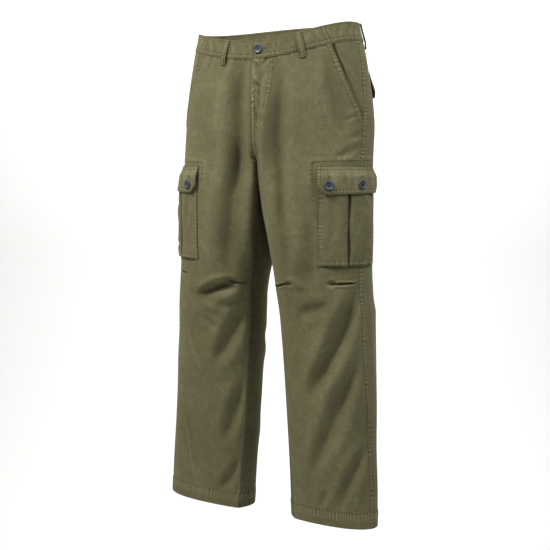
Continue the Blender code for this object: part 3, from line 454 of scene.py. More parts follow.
@dataclass
class LegSurface:
    """The cloth surface of one leg and its half of the trunk, read by place."""

    side: Side
    rows: int = 540
    half_columns: int = 200
    top: float = 0.020
    bottom: float = -1.055
    probe: float = 0.0015
    seam_fade: float = 0.014
    pocket_fade: float = 0.012
    pocket_side_fade: float = 0.006
    heights: Array = field(init=False)
    grid: Array = field(init=False)
    distances: Array = field(init=False)
    shares: Array = field(init=False)

    def __post_init__(self) -> None:
        """Measure both halves and join them into one table."""
        self.heights = np.linspace(self.top, self.bottom, self.rows)
        front, front_distance, front_share = self._measured_half(1.0)
        back, back_distance, back_share = self._measured_half(-1.0)
        self.grid = np.concatenate([back[:, :0:-1], front], axis=1)
        self.distances = np.concatenate([-back_distance[:, :0:-1], front_distance], axis=1)
        self.shares = np.concatenate([-back_share[:, :0:-1], front_share], axis=1)

    def _measured_half(self, direction: float) -> tuple[Array, Array, Array]:
        """Sample half of every ring along its length, even near the side seam.

        Args:
            direction: 1 for the front half, -1 for the back half.

        Returns:
            Points, distances from the side seam, and shares for even distances.
        """
        fine = direction * np.linspace(0.0, 1.0, 5 * self.half_columns)[None, :]
        even = np.linspace(0.0, 1.0, self.half_columns + 1)
        lengths = []
        for seam_turn in (0.0, 1.0):
            x, y = ring(fine, self.heights[:, None], seam_turn)
            steps = np.hypot(np.diff(x, axis=1), np.diff(y, axis=1))
            lengths.append(np.pad(np.cumsum(steps, axis=1), ((0, 0), (1, 0))))
        plain, full = (length[:, -1:] for length in lengths)
        distance = plain * even + (full - plain) * even ** EDGE_POWER
        distance = np.maximum.accumulate(distance, axis=1)
        points = np.empty((self.rows, self.half_columns + 1, 2))
        share = np.empty((self.rows, self.half_columns + 1))
        for row in range(self.rows):
            points[row, :, 0] = np.interp(distance[row], lengths[1][row], x[row])
            points[row, :, 1] = np.interp(distance[row], lengths[1][row], y[row])
            share[row] = np.interp(even * full[row], distance[row], even)
        return points, distance, share

    def _read(self, table: Array, place: Array, height: Array) -> Array:
        """Read a table between its entries.

        Args:
            table: rows by height, columns by place.
            place: -1 to 1 over the columns.
            height: heights.

        Returns:
            The table's values.
        """
        row = (self.top - height) / (self.top - self.bottom) * (self.rows - 1)
        row = np.clip(row, 0, self.rows - 1.0001)
        over = np.clip((place + 1.0) * self.half_columns, 0, 2 * self.half_columns - 0.0001)
        upper = row.astype(int)
        left = over.astype(int)
        down = row - upper
        along = over - left
        if table.ndim == 3:
            down = down[..., None]
            along = along[..., None]
        return (
            table[upper, left] * (1 - down) * (1 - along)
            + table[upper + 1, left] * down * (1 - along)
            + table[upper, left + 1] * (1 - down) * along
            + table[upper + 1, left + 1] * down * along
        )

    def front(self, height: Array) -> Array:
        """Distance from the side seam forward to the front seam or inseam."""
        return np.interp(-height, -self.heights, self.distances[:, -1])

    def back(self, height: Array) -> Array:
        """Distance from the side seam backward to the back seam or inseam."""
        return np.interp(-height, -self.heights, -self.distances[:, 0])

    def across(self, distance: Array, height: Array) -> Array:
        """Turn a distance from the side seam into a share of the panel, -1 to 1.

        Args:
            distance: distances forward of the side seam.
            height: heights.

        Returns:
            Shares.
        """
        distance, height = np.broadcast_arrays(distance, height)
        limit = np.where(distance > 0, self.front(height), self.back(height))
        return self._read(self.shares, distance / limit, height)

    def distance(self, across: Array, height: Array) -> Array:
        """Turn a share of the panel into a distance from the side seam."""
        across, height = np.broadcast_arrays(across, height)
        return self._read(self.distances, across, height)

    def _base(self, across: Array, height: Array) -> Array:
        """Point on the smooth surface; past a seam it goes on over the neighbouring panel.

        Args:
            across: shares of the panel.
            height: heights.

        Returns:
            Points.
        """
        across, height = np.broadcast_arrays(across, height)
        over = np.abs(across) > 1.0
        inside = np.where(over, np.sign(across) * (2.0 - np.abs(across)), across)
        wrapped = over & (height < CROTCH)
        ratio = self.front(height) / self.back(height)
        past = np.abs(across) - 1.0
        other = np.where(across > 0, past * ratio - 1.0, 1.0 - past / ratio)
        point = self._read(self.grid, np.where(wrapped, other, inside), height)
        x = np.where(over & ~wrapped, -point[..., 0], point[..., 0])
        return np.stack([self.side.value * x, point[..., 1], height], axis=-1)

    def _normal(self, sample: Callable[[Array, Array], Array], across: Array,
                height: Array) -> Array:
        """Outward direction of a sampled surface: the product of its steps each way.

        Args:
            sample: gives points for shares and heights.
            across: shares of the panel.
            height: heights.

        Returns:
            Unit vectors.
        """
        step = self.probe / self.front(height)
        round_step = sample(across + step, height) - sample(across - step, height)
        down_step = sample(across, height - self.probe) - sample(across, height + self.probe)
        normal = np.cross(round_step, down_step) * self.side.value
        return normal / np.linalg.norm(normal, axis=-1, keepdims=True)

    def fold_depth(self, across: Array, height: Array) -> Array:
        """How far the folds push the cloth in, faded at the seams and flat under the pocket.

        Args:
            across: shares of the panel.
            height: heights.

        Returns:
            Depths.
        """
        distance = self.distance(across, height)
        total = np.zeros(distance.shape)
        for fold in FOLDS[self.side]:
            total = total + fold.trough(distance, height)
        seam_room = (1.0 - np.abs(across)) * self.front(height)
        above = smooth_step((height - POCKET_BOTTOM) / self.pocket_fade + 1.0)
        below = smooth_step((FLAP_TOP - height) / self.pocket_fade + 1.0)
        shift = POCKET_SHIFT[self.side]
        ahead = smooth_step((distance - POCKET_FRONT - shift) / self.pocket_side_fade)
        behind = smooth_step((POCKET_BACK + shift - distance) / self.pocket_side_fade)
        flat = 1.0 - above * below * (1.0 - np.clip(ahead + behind, 0.0, 1.0))
        return total * flat * smooth_step(seam_room / self.seam_fade)

    def _folded(self, across: Array, height: Array) -> Array:
        """Point on the folded surface."""
        inward = self.fold_depth(across, height)[..., None]
        return self._base(across, height) - self._normal(self._base, across, height) * inward

    def points(self, across: Array, height: Array, lift: Array) -> tuple[Array, Array]:
        """Points on the folded surface, moved out.

        Args:
            across: shares of the panel.
            height: heights.
            lift: how far each point is moved out.

        Returns:
            Points and outward directions.
        """
        across, height, lift = np.broadcast_arrays(across, height, lift)
        normal = self._normal(self._folded, across, height)
        at_crotch = (np.abs(height - CROTCH) < 0.0001) & (np.abs(across) > 0.995)
        down = np.array([-0.6 * self.side.value, 0.0, -0.8])
        normal = np.where(at_crotch[..., None], down, normal)
        return self._folded(across, height) + normal * lift[..., None], normal


def row_height(across: Array, drop: Array) -> Array:
    """Height of a row that lies drop below the waist's top edge and levels out further down.

    Args:
        across: shares of the panel.
        drop: how far each row lies below the top edge.

    Returns:
        Heights.
    """
    rise = np.where(np.asarray(across) > 0, -FRONT_DIP, BACK_RISE)
    fade = 1.0 - smooth_step((drop - BAND_DEPTH) / DIP_FADE)
    return rise * np.sin(np.abs(across) * np.pi / 2) ** DIP_POWER * fade - drop


def hem_drop(side: Side, across: Array, drop: Array) -> Array:
    """How much lower the hem lies on the inside of the leg, eased in below the knee."""
    lower = HEM_DROP_INSIDE * np.abs(across) ** 3 + HEM_DROP[side]
    return lower * smooth_step((drop + HEM_DROP_START) / (HEM_DROP_START - HEM))


def mouth_line(side: Side, height: Array) -> Array:
    """Distance of the slant pocket mouth from the side seam: a straight line with a sine bow."""
    share = np.clip((height - MOUTH_END) / -MOUTH_END, 0.0, 1.0)
    return MOUTH_TOP[side] * share + MOUTH_BOW * np.sin(np.pi * share)


@dataclass(frozen=True)
class Columns:
    """Columns of a piece: each is an offset from its edges plus a share of its width."""

    offset: Array
    share: Array

    @classmethod
    def fine_at_edges(cls, edge: tuple[float, ...], middle: int,
                      far_edge: tuple[float, ...] | None = None) -> Columns:
        """Close columns at both edges and even ones between them.

        Args:
            edge: distances of the close columns from each edge.
            middle: how many columns lie between them.
            far_edge: the same from the edge nearest the front, if other than the first.

        Returns:
            The columns.
        """
        near, far = np.array(edge), np.array(far_edge or edge)
        over = np.linspace(0.0, 1.0, middle + 2)[1:-1]
        return cls(
            np.concatenate([near, near[-1] * (1.0 - over) - far[-1] * over, -far[::-1]])[None, :],
            np.concatenate([0 * near, over, 0 * far + 1.0])[None, :])

    def lay_out(self, surface: LegSurface, drop: Array, start: Line,
                end: Line) -> tuple[Array, Array]:
        """Places of a piece between two edges that are distances by height.

        Args:
            surface: the leg's surface.
            drop: how far each row lies below the waist's top edge.
            start: the edge nearest the back.
            end: the edge nearest the front.

        Returns:
            Distances and heights.
        """
        height = -drop * np.ones_like(self.share)
        for _ in range(5):
            first, last = start(height), end(height)
            distance = first + self.offset + (last - first) * self.share
            across = surface.across(distance, height)
            height = row_height(across, drop) - hem_drop(surface.side, across, drop)
        return distance, height


def settle(surface: LegSurface, drop: Array, place: Line) -> tuple[Array, Array]:
    """Places at drops below the waist's top edge, where the distance depends on the height.

    Args:
        surface: the leg's surface.
        drop: how far each row lies below the waist's top edge.
        place: gives distances by height.

    Returns:
        Distances and heights.
    """
    height = -drop
    for _ in range(4):
        distance = place(height)
        height = row_height(surface.across(distance, height), drop)
    return distance + 0.0 * height, height


# --- Seams: what sewing does to the cloth beside it ---


@dataclass(frozen=True)
class Relief:
    """What seams do at each place: cloth raised, puckers, sewn holes and rubbed cloth; their colour
    holds painted shade and highlight.
    """

    raised: Array
    rope: Array
    sewn: Array
    worn: Array

    @classmethod
    def none(cls, shape: tuple[int, ...]) -> Relief:
        """No seam at all."""
        return cls(*(np.zeros(shape) for _ in range(4)))

    def plus(self, other: Relief) -> Relief:
        """Both reliefs at once."""
        return Relief(
            self.raised + other.raised, self.rope + other.rope,
            self.sewn + other.sewn, self.worn + other.worn)


@dataclass(frozen=True)
class Seam:
    """A sewn line on the cloth. Offsets are to the left of the path's own direction."""

    path: Array
    rows: tuple[float, ...] = ()
    band: tuple[float, float] = (0.0, 0.006)
    rise: float = 0.0
    pucker: float = 0.0
    pitch: float = 0.007
    slant: float = 0.0
    # Above 0 the cloth is rubbed pale; below 0 a dark line of painted shadow is drawn where an edge
    # shades the cloth beside it.
    worn: float = 0.0
    groove: float = 0.0003
    seed: float = 0.0

    REACH = 0.025
    EDGE = 0.0010
    END = 0.003
    ROW_SPREAD = 0.0010
    FULL_PUCKER = 0.0004
    # Shares of a pitch and waves to a metre by which the puckers drift, and how they swell.
    DRIFT = ((0.30, 61.0), (0.22, 137.0))
    SWELL = (0.72, 0.28, 83.0)

    def _place(self, distance: Array, height: Array) -> tuple[Array, Array, Array]:
        """Offset from the path, run along it, and how far past its ends each place lies.

        Args:
            distance: distances forward of the side seam.
            height: heights.

        Returns:
            Offsets, runs and overruns, each from the nearest straight stretch of the path.
        """
        nearest = np.full(distance.shape, np.inf)
        off, run, over = (np.zeros(distance.shape) for _ in range(3))
        start = 0.0
        for a, b in zip(self.path[:-1], self.path[1:]):
            length = float(np.hypot(*(b - a)))
            unit = (b - a) / length
            right, up = distance - a[0], height - a[1]
            free = right * unit[0] + up * unit[1]
            along = np.clip(free, 0.0, length)
            gap = np.hypot(right - unit[0] * along, up - unit[1] * along)
            nearer = gap < nearest
            nearest = np.where(nearer, gap, nearest)
            off = np.where(nearer, up * unit[0] - right * unit[1], off)
            run = np.where(nearer, start + along, run)
            over = np.where(nearer, np.abs(free - along), over)
            start += length
        return off, run, over

    def relief(self, distance: Array, height: Array) -> Relief:
        """Raised band, a cosine of puckers along it under a bell across it, and sewn grooves.

        The puckers drift along the seam by two slow sines, and a third swells them.

        Args:
            distance: distances forward of the side seam.
            height: heights.

        Returns:
            The seam's relief.
        """
        low, high = self.path.min(axis=0) - self.REACH, self.path.max(axis=0) + self.REACH
        near = (
            (distance > low[0]) & (distance < high[0]) & (height > low[1]) & (height < high[1]))
        result = Relief.none(distance.shape)
        if not near.any():
            return result
        off, run, over = self._place(distance[near], height[near])
        ends = np.exp(-(over / self.END) ** 2)
        middle = sum(self.band) / 2
        half = abs(self.band[1] - self.band[0]) / 2
        inside = smooth_step((half - np.abs(off - middle)) / self.EDGE + 0.5)
        hump = np.exp(-((off - middle) / (half * 1.15)) ** 2)
        wobble = sum(much * np.sin(run * often + k * self.seed)
                     for k, (much, often) in enumerate(self.DRIFT, 1))
        swell = self.SWELL[0] + self.SWELL[1] * np.sin(run * self.SWELL[2] + 3 * self.seed)
        wave = np.cos(2 * np.pi * ((run + self.slant * off) / self.pitch + wobble)) * swell
        sewn = sum((np.exp(-((off - row) / self.ROW_SPREAD) ** 2) for row in self.rows),
                   np.zeros(off.shape))
        result.raised[near] = ends * (
            self.rise * inside + self.pucker * hump * wave - self.groove * sewn)
        result.rope[near] = ends * hump * wave * self.pucker / self.FULL_PUCKER
        result.sewn[near] = ends * sewn * (0.75 - 0.25 * wave)
        result.worn[near] = ends * inside * self.worn
        return result

    def shifted(self, amount: float) -> Array:
        """The path moved to its left, as places a millimetre apart.

        Args:
            amount: how far to the left.

        Returns:
            Places along the moved path.
        """
        steps = np.hypot(*np.diff(self.path, axis=0).T)
        run = np.concatenate([[0.0], np.cumsum(steps)])
        fine = np.linspace(0.0, run[-1], max(3, int(run[-1] / 0.001)))
        path = np.stack([np.interp(fine, run, self.path[:, axis]) for axis in (0, 1)], axis=-1)
        direction = np.gradient(path, axis=0)
        direction /= np.linalg.norm(direction, axis=-1, keepdims=True)
        left = np.stack([-direction[:, 1], direction[:, 0]], axis=-1)
        return path + left * amount


def flush(distance: Array, height: Array) -> Array:
    """No lift: the face lies on the leg's surface."""
    return 0.0 * distance


@dataclass
class Face:
    """Outer face of a piece: a lift over the leg's surface, and the seams on it."""

    surface: LegSurface
    lift: Lift
    seams: list[Seam] = field(default_factory=list)
    centred: bool = True

    def relief(self, distance: Array, height: Array) -> Relief:
        """Sum of all the seams' reliefs.

        Args:
            distance: distances forward of the side seam.
            height: heights.

        Returns:
            The relief.
        """
        total = Relief.none(np.broadcast_shapes(distance.shape, height.shape))
        for seam in self.seams:
            total = total.plus(seam.relief(distance, height))
        return total

    def points(self, distance: Array, height: Array,
               above: float = 0.0) -> tuple[Array, Array, Relief]:
        """Points on the face.

        Args:
            distance: distances forward of the side seam.
            height: heights.
            above: extra distance out from the cloth.

        Returns:
            Points, outward directions and relief.
        """
        distance, height = np.broadcast_arrays(distance, height)
        relief = self.relief(distance, height)
        across = self.surface.across(distance, height)
        lift = self.lift(distance, height) + relief.raised + above
        point, normal = self.surface.points(across, height, lift)
        return self.clear(point), normal, relief

    def clear(self, points: Array) -> Array:
        """Keep points on their own side of the centre seam by half the seam gap."""
        if self.centred:
            side = self.surface.side.value
            points[..., 0] = side * np.maximum(points[..., 0] * side, SEAM_GAP / 2)
        return points


# --- Meshes ---


def grid_quads(ids: Array) -> Array:
    """Quads between the neighbouring rows and columns of a grid of vertex numbers."""
    return np.stack(
        [ids[:-1, :-1], ids[:-1, 1:], ids[1:, 1:], ids[1:, :-1]], axis=-1).reshape(-1, 4)


def face_mesh(name: str, points: Array, faces: Array) -> bpy.types.Mesh:
    """Mesh of faces that all have the same number of corners.

    Args:
        name: the mesh's name.
        points: vertices.
        faces: one row of vertex numbers for each face.

    Returns:
        The mesh.
    """
    mesh = bpy.data.meshes.new(name)
    mesh.vertices.add(len(points))
    mesh.vertices.foreach_set("co", points.astype(np.float32).ravel())
    mesh.loops.add(faces.size)
    mesh.loops.foreach_set("vertex_index", faces.astype(np.int32).ravel())
    mesh.polygons.add(len(faces))
    mesh.polygons.foreach_set(
        "loop_start", np.arange(0, faces.size, faces.shape[1], dtype=np.int32))
    mesh.update(calc_edges=True)
    mesh.validate()
    mesh.shade_smooth()
    return mesh


@dataclass
class Wall:
    """Closed cloth wall between an outer and an inner grid of the same shape."""

    outer: Array
    inner: Array
    places: Array
    relief: Relief
    flipped: bool = False

    @property
    def flat_size(self) -> tuple[float, float]:
        """Longest row and longest column of the outer face."""
        across = np.linalg.norm(np.diff(self.outer, axis=1), axis=-1).sum(axis=1).max()
        down = np.linalg.norm(np.diff(self.outer, axis=0), axis=-1).sum(axis=0).max()
        return round(float(across), 3), round(float(down), 3)

    @property
    def flat_area(self) -> float:
        """Area of the outer face: half the product of each cell's diagonals."""
        first = self.outer[1:, 1:] - self.outer[:-1, :-1]
        second = self.outer[1:, :-1] - self.outer[:-1, 1:]
        area = float(np.linalg.norm(np.cross(first, second), axis=-1).sum() / 2)
        width, length = self.flat_size
        return min(area, width * length)

    def mesh(self, name: str) -> bpy.types.Mesh:
        """Quads of both grids and of the rim between them, with the cloth's own map and marks.

        Args:
            name: the mesh's name.

        Returns:
            The mesh.
        """
        rows, cols = self.outer.shape[:2]
        count = rows * cols
        ids = np.arange(count).reshape(rows, cols)
        skin = grid_quads(ids)
        border = np.concatenate([ids[0, :], ids[1:, -1], ids[-1, -2::-1], ids[-2:0:-1, 0]])
        after = np.roll(border, -1)
        rim = np.stack([after, border, border + count, after + count], axis=-1)
        faces = np.concatenate([skin, skin[:, ::-1] + count, rim])
        if self.flipped:
            faces = faces[:, ::-1]
        points = np.concatenate([self.outer.reshape(-1, 3), self.inner.reshape(-1, 3)])
        mesh = face_mesh(name, points, faces)
        mesh.set_sharp_from_angle(angle=np.radians(SHARP_ANGLE))
        places = np.tile(self.places.reshape(-1, 2), (2, 1))
        layer = mesh.uv_layers.new(name="cloth")
        layer.data.foreach_set("uv", places[faces.ravel()].astype(np.float32).ravel())
        for mark in MARKS:
            values = np.tile(getattr(self.relief, mark).ravel(), 2).astype(np.float32)
            mesh.attributes.new(mark, "FLOAT", "POINT").data.foreach_set("value", values)
        return mesh


# --- Finishes ---


def linear(code: str) -> tuple[float, float, float, float]:
    """Turn an sRGB hex colour into linear red, green, blue and alpha.

    Args:
        code: the colour, #rrggbb.

    Returns:
        The four values.
    """
    values = np.array([int(code[i:i + 2], 16) for i in (1, 3, 5)]) / 255.0
    values = np.where(values <= 0.04045, values / 12.92, ((values + 0.055) / 1.055) ** 2.4)
    return (*values.tolist(), 1.0)


def add_node(tree: bpy.types.NodeTree, kind: str, inputs: dict | None = None,
             **settings: object) -> bpy.types.Node:
    """Add a node with its settings, values and links.

    Args:
        tree: the material's tree.
        kind: the node's type.
        inputs: a value or a socket to link for each input's name or number.
        settings: the node's own settings.

    Returns:
        The node.
    """
    node = tree.nodes.new(kind)
    for name, value in settings.items():
        setattr(node, name, value)
    for key, value in (inputs or {}).items():
        if isinstance(value, bpy.types.NodeSocket):
            tree.links.new(value, node.inputs[key])
        else:
            node.inputs[key].default_value = value
    return node


def new_material(
        name: str, values: dict) -> tuple[bpy.types.Material, bpy.types.NodeTree, bpy.types.Node]:
    """Start a material of nodes.

    Args:
        name: the material's name.
        values: the uniform values, by the shader's sockets.

    Returns:
        The material, its tree and its shader.
    """
    material = bpy.data.materials.new(name)
    material.use_nodes = True
    shader = material.node_tree.nodes["Principled BSDF"]
    for socket, value in values.items():
        shader.inputs[socket].default_value = value
    return material, material.node_tree, shader


@dataclass(frozen=True)
class TwillFinish:
    """Cotton twill, piece-dyed olive and garment-washed: matte, dusty, rubbed pale at its seams."""

    name: str
    deep: str = "#45422e"
    middle: str = "#6c684b"
    pale: str = "#939071"
    nap: str = "#c9c4a4"
    grain_turn: float = 1.1
    roughness: float = 0.93
    sheen: float = 0.12
    # Real twill lines lie 0.6 mm apart: drawn at 1.3 mm, which is as fine as shows.
    twill_pitch: float = 0.0013
    slub: float = 0.0030
    mottle: float = 0.014
    fade: float = 0.090
    relief: float = 0.00010

    def material(self) -> bpy.types.Material:
        """Build the material.

        Returns:
            Colour from patches of fading, mottle, twill lines and the seams' marks, which also
            paint shade and highlight; bump from the twill lines and slubs.
        """
        material, tree, shader = new_material(self.name, {
            "Roughness": self.roughness, "Sheen Weight": self.sheen, "Sheen Roughness": 0.6,
            "Sheen Tint": linear(self.nap), "Specular IOR Level": 0.12})
        cloth = add_node(tree, "ShaderNodeUVMap", uv_map="cloth").outputs["UV"]
        turned = add_node(
            tree, "ShaderNodeMapping", {"Vector": cloth, "Rotation": (0, 0, self.grain_turn)})
        twill = add_node(
            tree, "ShaderNodeTexWave",
            {"Vector": turned.outputs["Vector"], "Scale": 0.314 / self.twill_pitch,
             "Distortion": 1.2, "Detail": 1.0, "Detail Scale": 1.5},
            bands_direction="X").outputs["Fac"]
        place = add_node(tree, "ShaderNodeTexCoord").outputs["Object"]
        slub, mottle, fade = (
            add_node(tree, "ShaderNodeTexNoise",
                     {"Vector": place, "Scale": 1.0 / size, "Detail": detail}).outputs["Fac"]
            for size, detail in ((self.slub, 2.0), (self.mottle, 3.0), (self.fade, 2.0)))
        rope, sewn, worn = (
            add_node(tree, "ShaderNodeAttribute", attribute_name=mark).outputs["Fac"]
            for mark in MARKS)
        even = ((twill, 0.10), (slub, 0.45), (mottle, 0.30), (fade, 0.30))
        tone = 0.5 - 0.5 * sum(amount for _, amount in even)
        # Pucker crests drawn paler, partly from wash wear, and their valleys darker as painted
        # shade; stitch rows darker as painted shade; the last mark holds rubbed pale seams, painted
        # shadow lines and painted shade and highlight over the folds.
        for source, amount in (*even, (rope, 0.20), (sewn, -0.50), (worn, 0.24)):
            tone = add_node(
                tree, "ShaderNodeMath", {0: source, 1: amount, 2: tone},
                operation="MULTIPLY_ADD").outputs[0]
        ramp = add_node(tree, "ShaderNodeValToRGB", {"Fac": tone})
        stops = ramp.color_ramp.elements
        stops[0].color = linear(self.deep)
        stops[1].color = linear(self.pale)
        stops.new(0.5).color = linear(self.middle)
        tree.links.new(ramp.outputs["Color"], shader.inputs["Base Color"])
        rough = add_node(
            tree, "ShaderNodeMath", {0: twill, 1: 0.6, 2: slub},
            operation="MULTIPLY_ADD").outputs[0]
        bump = add_node(
            tree, "ShaderNodeBump",
            {"Height": rough, "Strength": 0.6, "Distance": self.relief})
        tree.links.new(bump.outputs["Normal"], shader.inputs["Normal"])
        return material


@dataclass(frozen=True)
class ThreadFinish:
    """Spun polyester sewing thread, dyed to match: slightly smoother than the cloth."""

    name: str
    colour: str
    shade: str
    roughness: float = 0.7
    # Thread twists lie 0.8 mm apart along a stitch.
    twist: float = 0.0008

    def material(self) -> bpy.types.Material:
        """Build the material.

        Returns:
            Two tones of thread mixed by a fine noise, which also roughens it.
        """
        material, tree, shader = new_material(self.name, {
            "Roughness": self.roughness, "Sheen Weight": 0.1, "Specular IOR Level": 0.2})
        place = add_node(tree, "ShaderNodeTexCoord").outputs["Object"]
        twist = add_node(
            tree, "ShaderNodeTexNoise",
            {"Vector": place, "Scale": 1.0 / self.twist, "Detail": 1.0}).outputs["Fac"]
        colour = add_node(
            tree, "ShaderNodeMix",
            {"Factor": twist, 6: linear(self.shade), 7: linear(self.colour)}, data_type="RGBA")
        tree.links.new(colour.outputs[2], shader.inputs["Base Color"])
        bump = add_node(
            tree, "ShaderNodeBump", {"Height": twist, "Strength": 0.4, "Distance": 0.0001})
        tree.links.new(bump.outputs["Normal"], shader.inputs["Normal"])
        return material


@dataclass(frozen=True)
class HornFinish:
    """Moulded polyester button, dyed slate with horn-like clouds and a satin tumble polish."""

    name: str
    dark: str = "#23272f"
    light: str = "#565d6c"
    cloud: float = 0.006
    speck: float = 0.0009

    def material(self) -> bpy.types.Material:
        """Build the material.

        Returns:
            Clouds of two slates with fine specks; the roughness follows the specks.
        """
        material, tree, shader = new_material(self.name, {"IOR": 1.52})
        place = add_node(tree, "ShaderNodeTexCoord").outputs["Object"]
        cloud, speck = (
            add_node(tree, "ShaderNodeTexNoise",
                     {"Vector": place, "Scale": 1.0 / size, "Detail": detail,
                      "Distortion": twist}).outputs["Fac"]
            for size, detail, twist in ((self.cloud, 2.0, 0.8), (self.speck, 1.0, 0.0)))
        tone = add_node(
            tree, "ShaderNodeMath", {0: speck, 1: 0.25, 2: cloud},
            operation="MULTIPLY_ADD").outputs[0]
        ramp = add_node(tree, "ShaderNodeValToRGB", {"Fac": tone})
        stops = ramp.color_ramp.elements
        stops[0].position, stops[1].position = 0.40, 0.85
        stops[0].color = linear(self.dark)
        stops[1].color = linear(self.light)
        tree.links.new(ramp.outputs["Color"], shader.inputs["Base Color"])
        rough = add_node(
            tree, "ShaderNodeMapRange", {"Value": speck, "To Min": 0.30, "To Max": 0.48})
        tree.links.new(rough.outputs["Result"], shader.inputs["Roughness"])
        return material


@dataclass(frozen=True)
class StudioFinish:
    """Matte white paint of the studio's floor and sweep."""

    name: str = "studio_white"
    colour: str = "#f4f4f3"

    def material(self) -> bpy.types.Material:
        """Build the material: one even white with no gloss."""
        return new_material(self.name, {
            "Roughness": 0.95, "Specular IOR Level": 0.0, "Base Color": linear(self.colour)})[0]


# --- Threads ---


@dataclass
class Threads:
    """Stitches of one sub-assembly, gathered and then built as one mesh."""

    name: str
    length: float = 0.0027
    pitch: float = 0.0034
    radius: float = 0.00030
    sink: float = 0.00008
    tack_radius: float = 0.00034
    tack_width: float = 0.0018
    tack_gap: float = 0.0006
    hole_radius: float = 0.00042
    hole_slit: float = 0.0004
    run_in: float = 0.0005
    corners: list[Array] = field(default_factory=list)

    RING = np.array([[0, 2, 3], [0, 3, 4], [0, 4, 5], [0, 5, 2],
                     [1, 3, 2], [1, 4, 3], [1, 5, 4], [1, 2, 5]])

    def lay(self, face: Face, starts: Array, ends: Array, radius: float | None = None) -> None:
        """Stitches from place to place: each is two points joined by a ring of four.

        Args:
            face: the face that they lie on.
            starts: distance and height of each stitch's start.
            ends: the same for its end.
            radius: the thread's radius, if not the usual one.
        """
        a, normal, _ = face.points(starts[:, 0], starts[:, 1], -self.sink)
        b = face.points(ends[:, 0], ends[:, 1], -self.sink)[0]
        self.join(a, b, normal, radius or self.radius)

    def join(self, a: Array, b: Array, normal: Array, radius: float) -> None:
        """Stitches between points in space, square to the given outward directions.

        Args:
            a: their starts.
            b: their ends.
            normal: outward directions.
            radius: the thread's radius.
        """
        middle = (a + b) / 2
        along = (b - a) / np.linalg.norm(b - a, axis=-1, keepdims=True)
        sideways = np.cross(normal, along)
        self.corners.append(np.stack([
            b, a, middle + sideways * radius, middle + normal * radius,
            middle - sideways * radius, middle - normal * radius], axis=1))

    def sew(self, face: Face) -> None:
        """Lay every row of stitches of a face's seams."""
        for seam in face.seams:
            for row in seam.rows:
                self.run(face, seam.shifted(row))

    def run(self, face: Face, path: Array) -> None:
        """One row of stitches along a path of places.

        Args:
            face: the face that they lie on.
            path: the row's places.
        """
        steps = np.hypot(*np.diff(path, axis=0).T)
        run = np.concatenate([[0.0], np.cumsum(steps)])
        first = np.arange(self.run_in, run[-1] - self.length, self.pitch)
        if len(first) == 0:
            return
        starts, ends = (
            np.stack([np.interp(at, run, path[:, axis]) for axis in (0, 1)], axis=-1)
            for at in (first, first + self.length))
        self.lay(face, starts, ends)

    def tack(self, face: Face, a: tuple[float, float], b: tuple[float, float]) -> None:
        """Bar tack: close stitches side by side across the line from a to b.

        Args:
            face: the face that it lies on.
            a: place of its start.
            b: place of its end.
        """
        a, b = np.array(a), np.array(b)
        unit = (b - a) / np.hypot(*(b - a))
        square = np.array([-unit[1], unit[0]]) * self.tack_width / 2
        count = max(2, int(np.hypot(*(b - a)) / self.tack_gap))
        middle = a + (b - a) * np.linspace(0.0, 1.0, count)[:, None]
        self.lay(face, middle - square, middle + square, self.tack_radius)

    def buttonhole(self, face: Face, middle: tuple[float, float], along: tuple[float, float],
                   length: float, width: float = 0.0016, count: int = 64) -> None:
        """Close stitches outward from an oval slit.

        Args:
            face: the face that it is cut in.
            middle: place of the slit's middle.
            along: direction of the slit.
            length: length of the slit.
            width: length of each stitch.
            count: how many stitches.
        """
        angle = np.linspace(0.0, 2 * np.pi, count, endpoint=False)
        u = np.array(along)
        v = np.array([-u[1], u[0]])
        run = np.sign(np.cos(angle)) * np.abs(np.cos(angle)) ** 0.35
        inner = (
            np.array(middle) + u * (run * length / 2)[:, None]
            + v * (np.sin(angle) * self.hole_slit)[:, None])
        outward = u * (np.cos(angle) * 0.5)[:, None] + v * np.sin(angle)[:, None]
        outward /= np.linalg.norm(outward, axis=-1, keepdims=True)
        self.lay(face, inner, inner + outward * width, self.hole_radius)

    def build(self, room: Workroom, material: bpy.types.Material) -> None:
        """Make the gathered stitches into one piece.

        Args:
            room: the workroom.
            material: the thread's finish.
        """
        points = np.concatenate(self.corners)
        faces = (np.arange(len(points))[:, None, None] * 6 + self.RING).reshape(-1, 3)
        mesh = face_mesh(self.name, points.reshape(-1, 3), faces)
        piece = room.add(self.name, mesh, material)
        LOG.info("%s: %d stitches", piece.name, len(points))


# --- The workroom: surfaces, finishes and the bench that pieces are added to ---


@dataclass
class Workroom:
    """What all the sub-assemblies share."""

    surfaces: dict[Side, LegSurface]
    twill: bpy.types.Material
    trim: bpy.types.Material
    thread: bpy.types.Material
    dark_thread: bpy.types.Material
    horn: bpy.types.Material

    def add(self, name: str, mesh: bpy.types.Mesh, material: bpy.types.Material,
            node: str | None = None, slot: Slot | None = None) -> bpy.types.Object:
        """Put a mesh in the scene as a piece that rides on the body.

        Args:
            name: the piece's name.
            mesh: its mesh.
            material: its material.
            node: the node that it stands for.
            slot: the record's material slot; not used.

        Returns:
            The piece.
        """
        piece = bpy.data.objects.new(name, mesh)
        mesh.materials.append(material)
        bpy.context.scene.collection.objects.link(piece)
        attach(piece, BODY)
        if node:
            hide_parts(node)
        return piece

    def add_cloth(self, name: str, wall: Wall, material: bpy.types.Material, node: str,
                  slot: Slot) -> None:
        """Put a cloth wall in the scene as a piece.

        Args:
            name: the piece's name.
            wall: its wall.
            material: its material.
            node: the node that it stands for.
            slot: the record's material slot.
        """
        piece = self.add(name, wall.mesh(name), material, node, slot)
        wall.flat_size
        wall.flat_area
        width, length = wall.flat_size
        LOG.info("%s: %.0f x %.0f mm, %d faces", name, width * 1000, length * 1000,
                 len(piece.data.polygons))


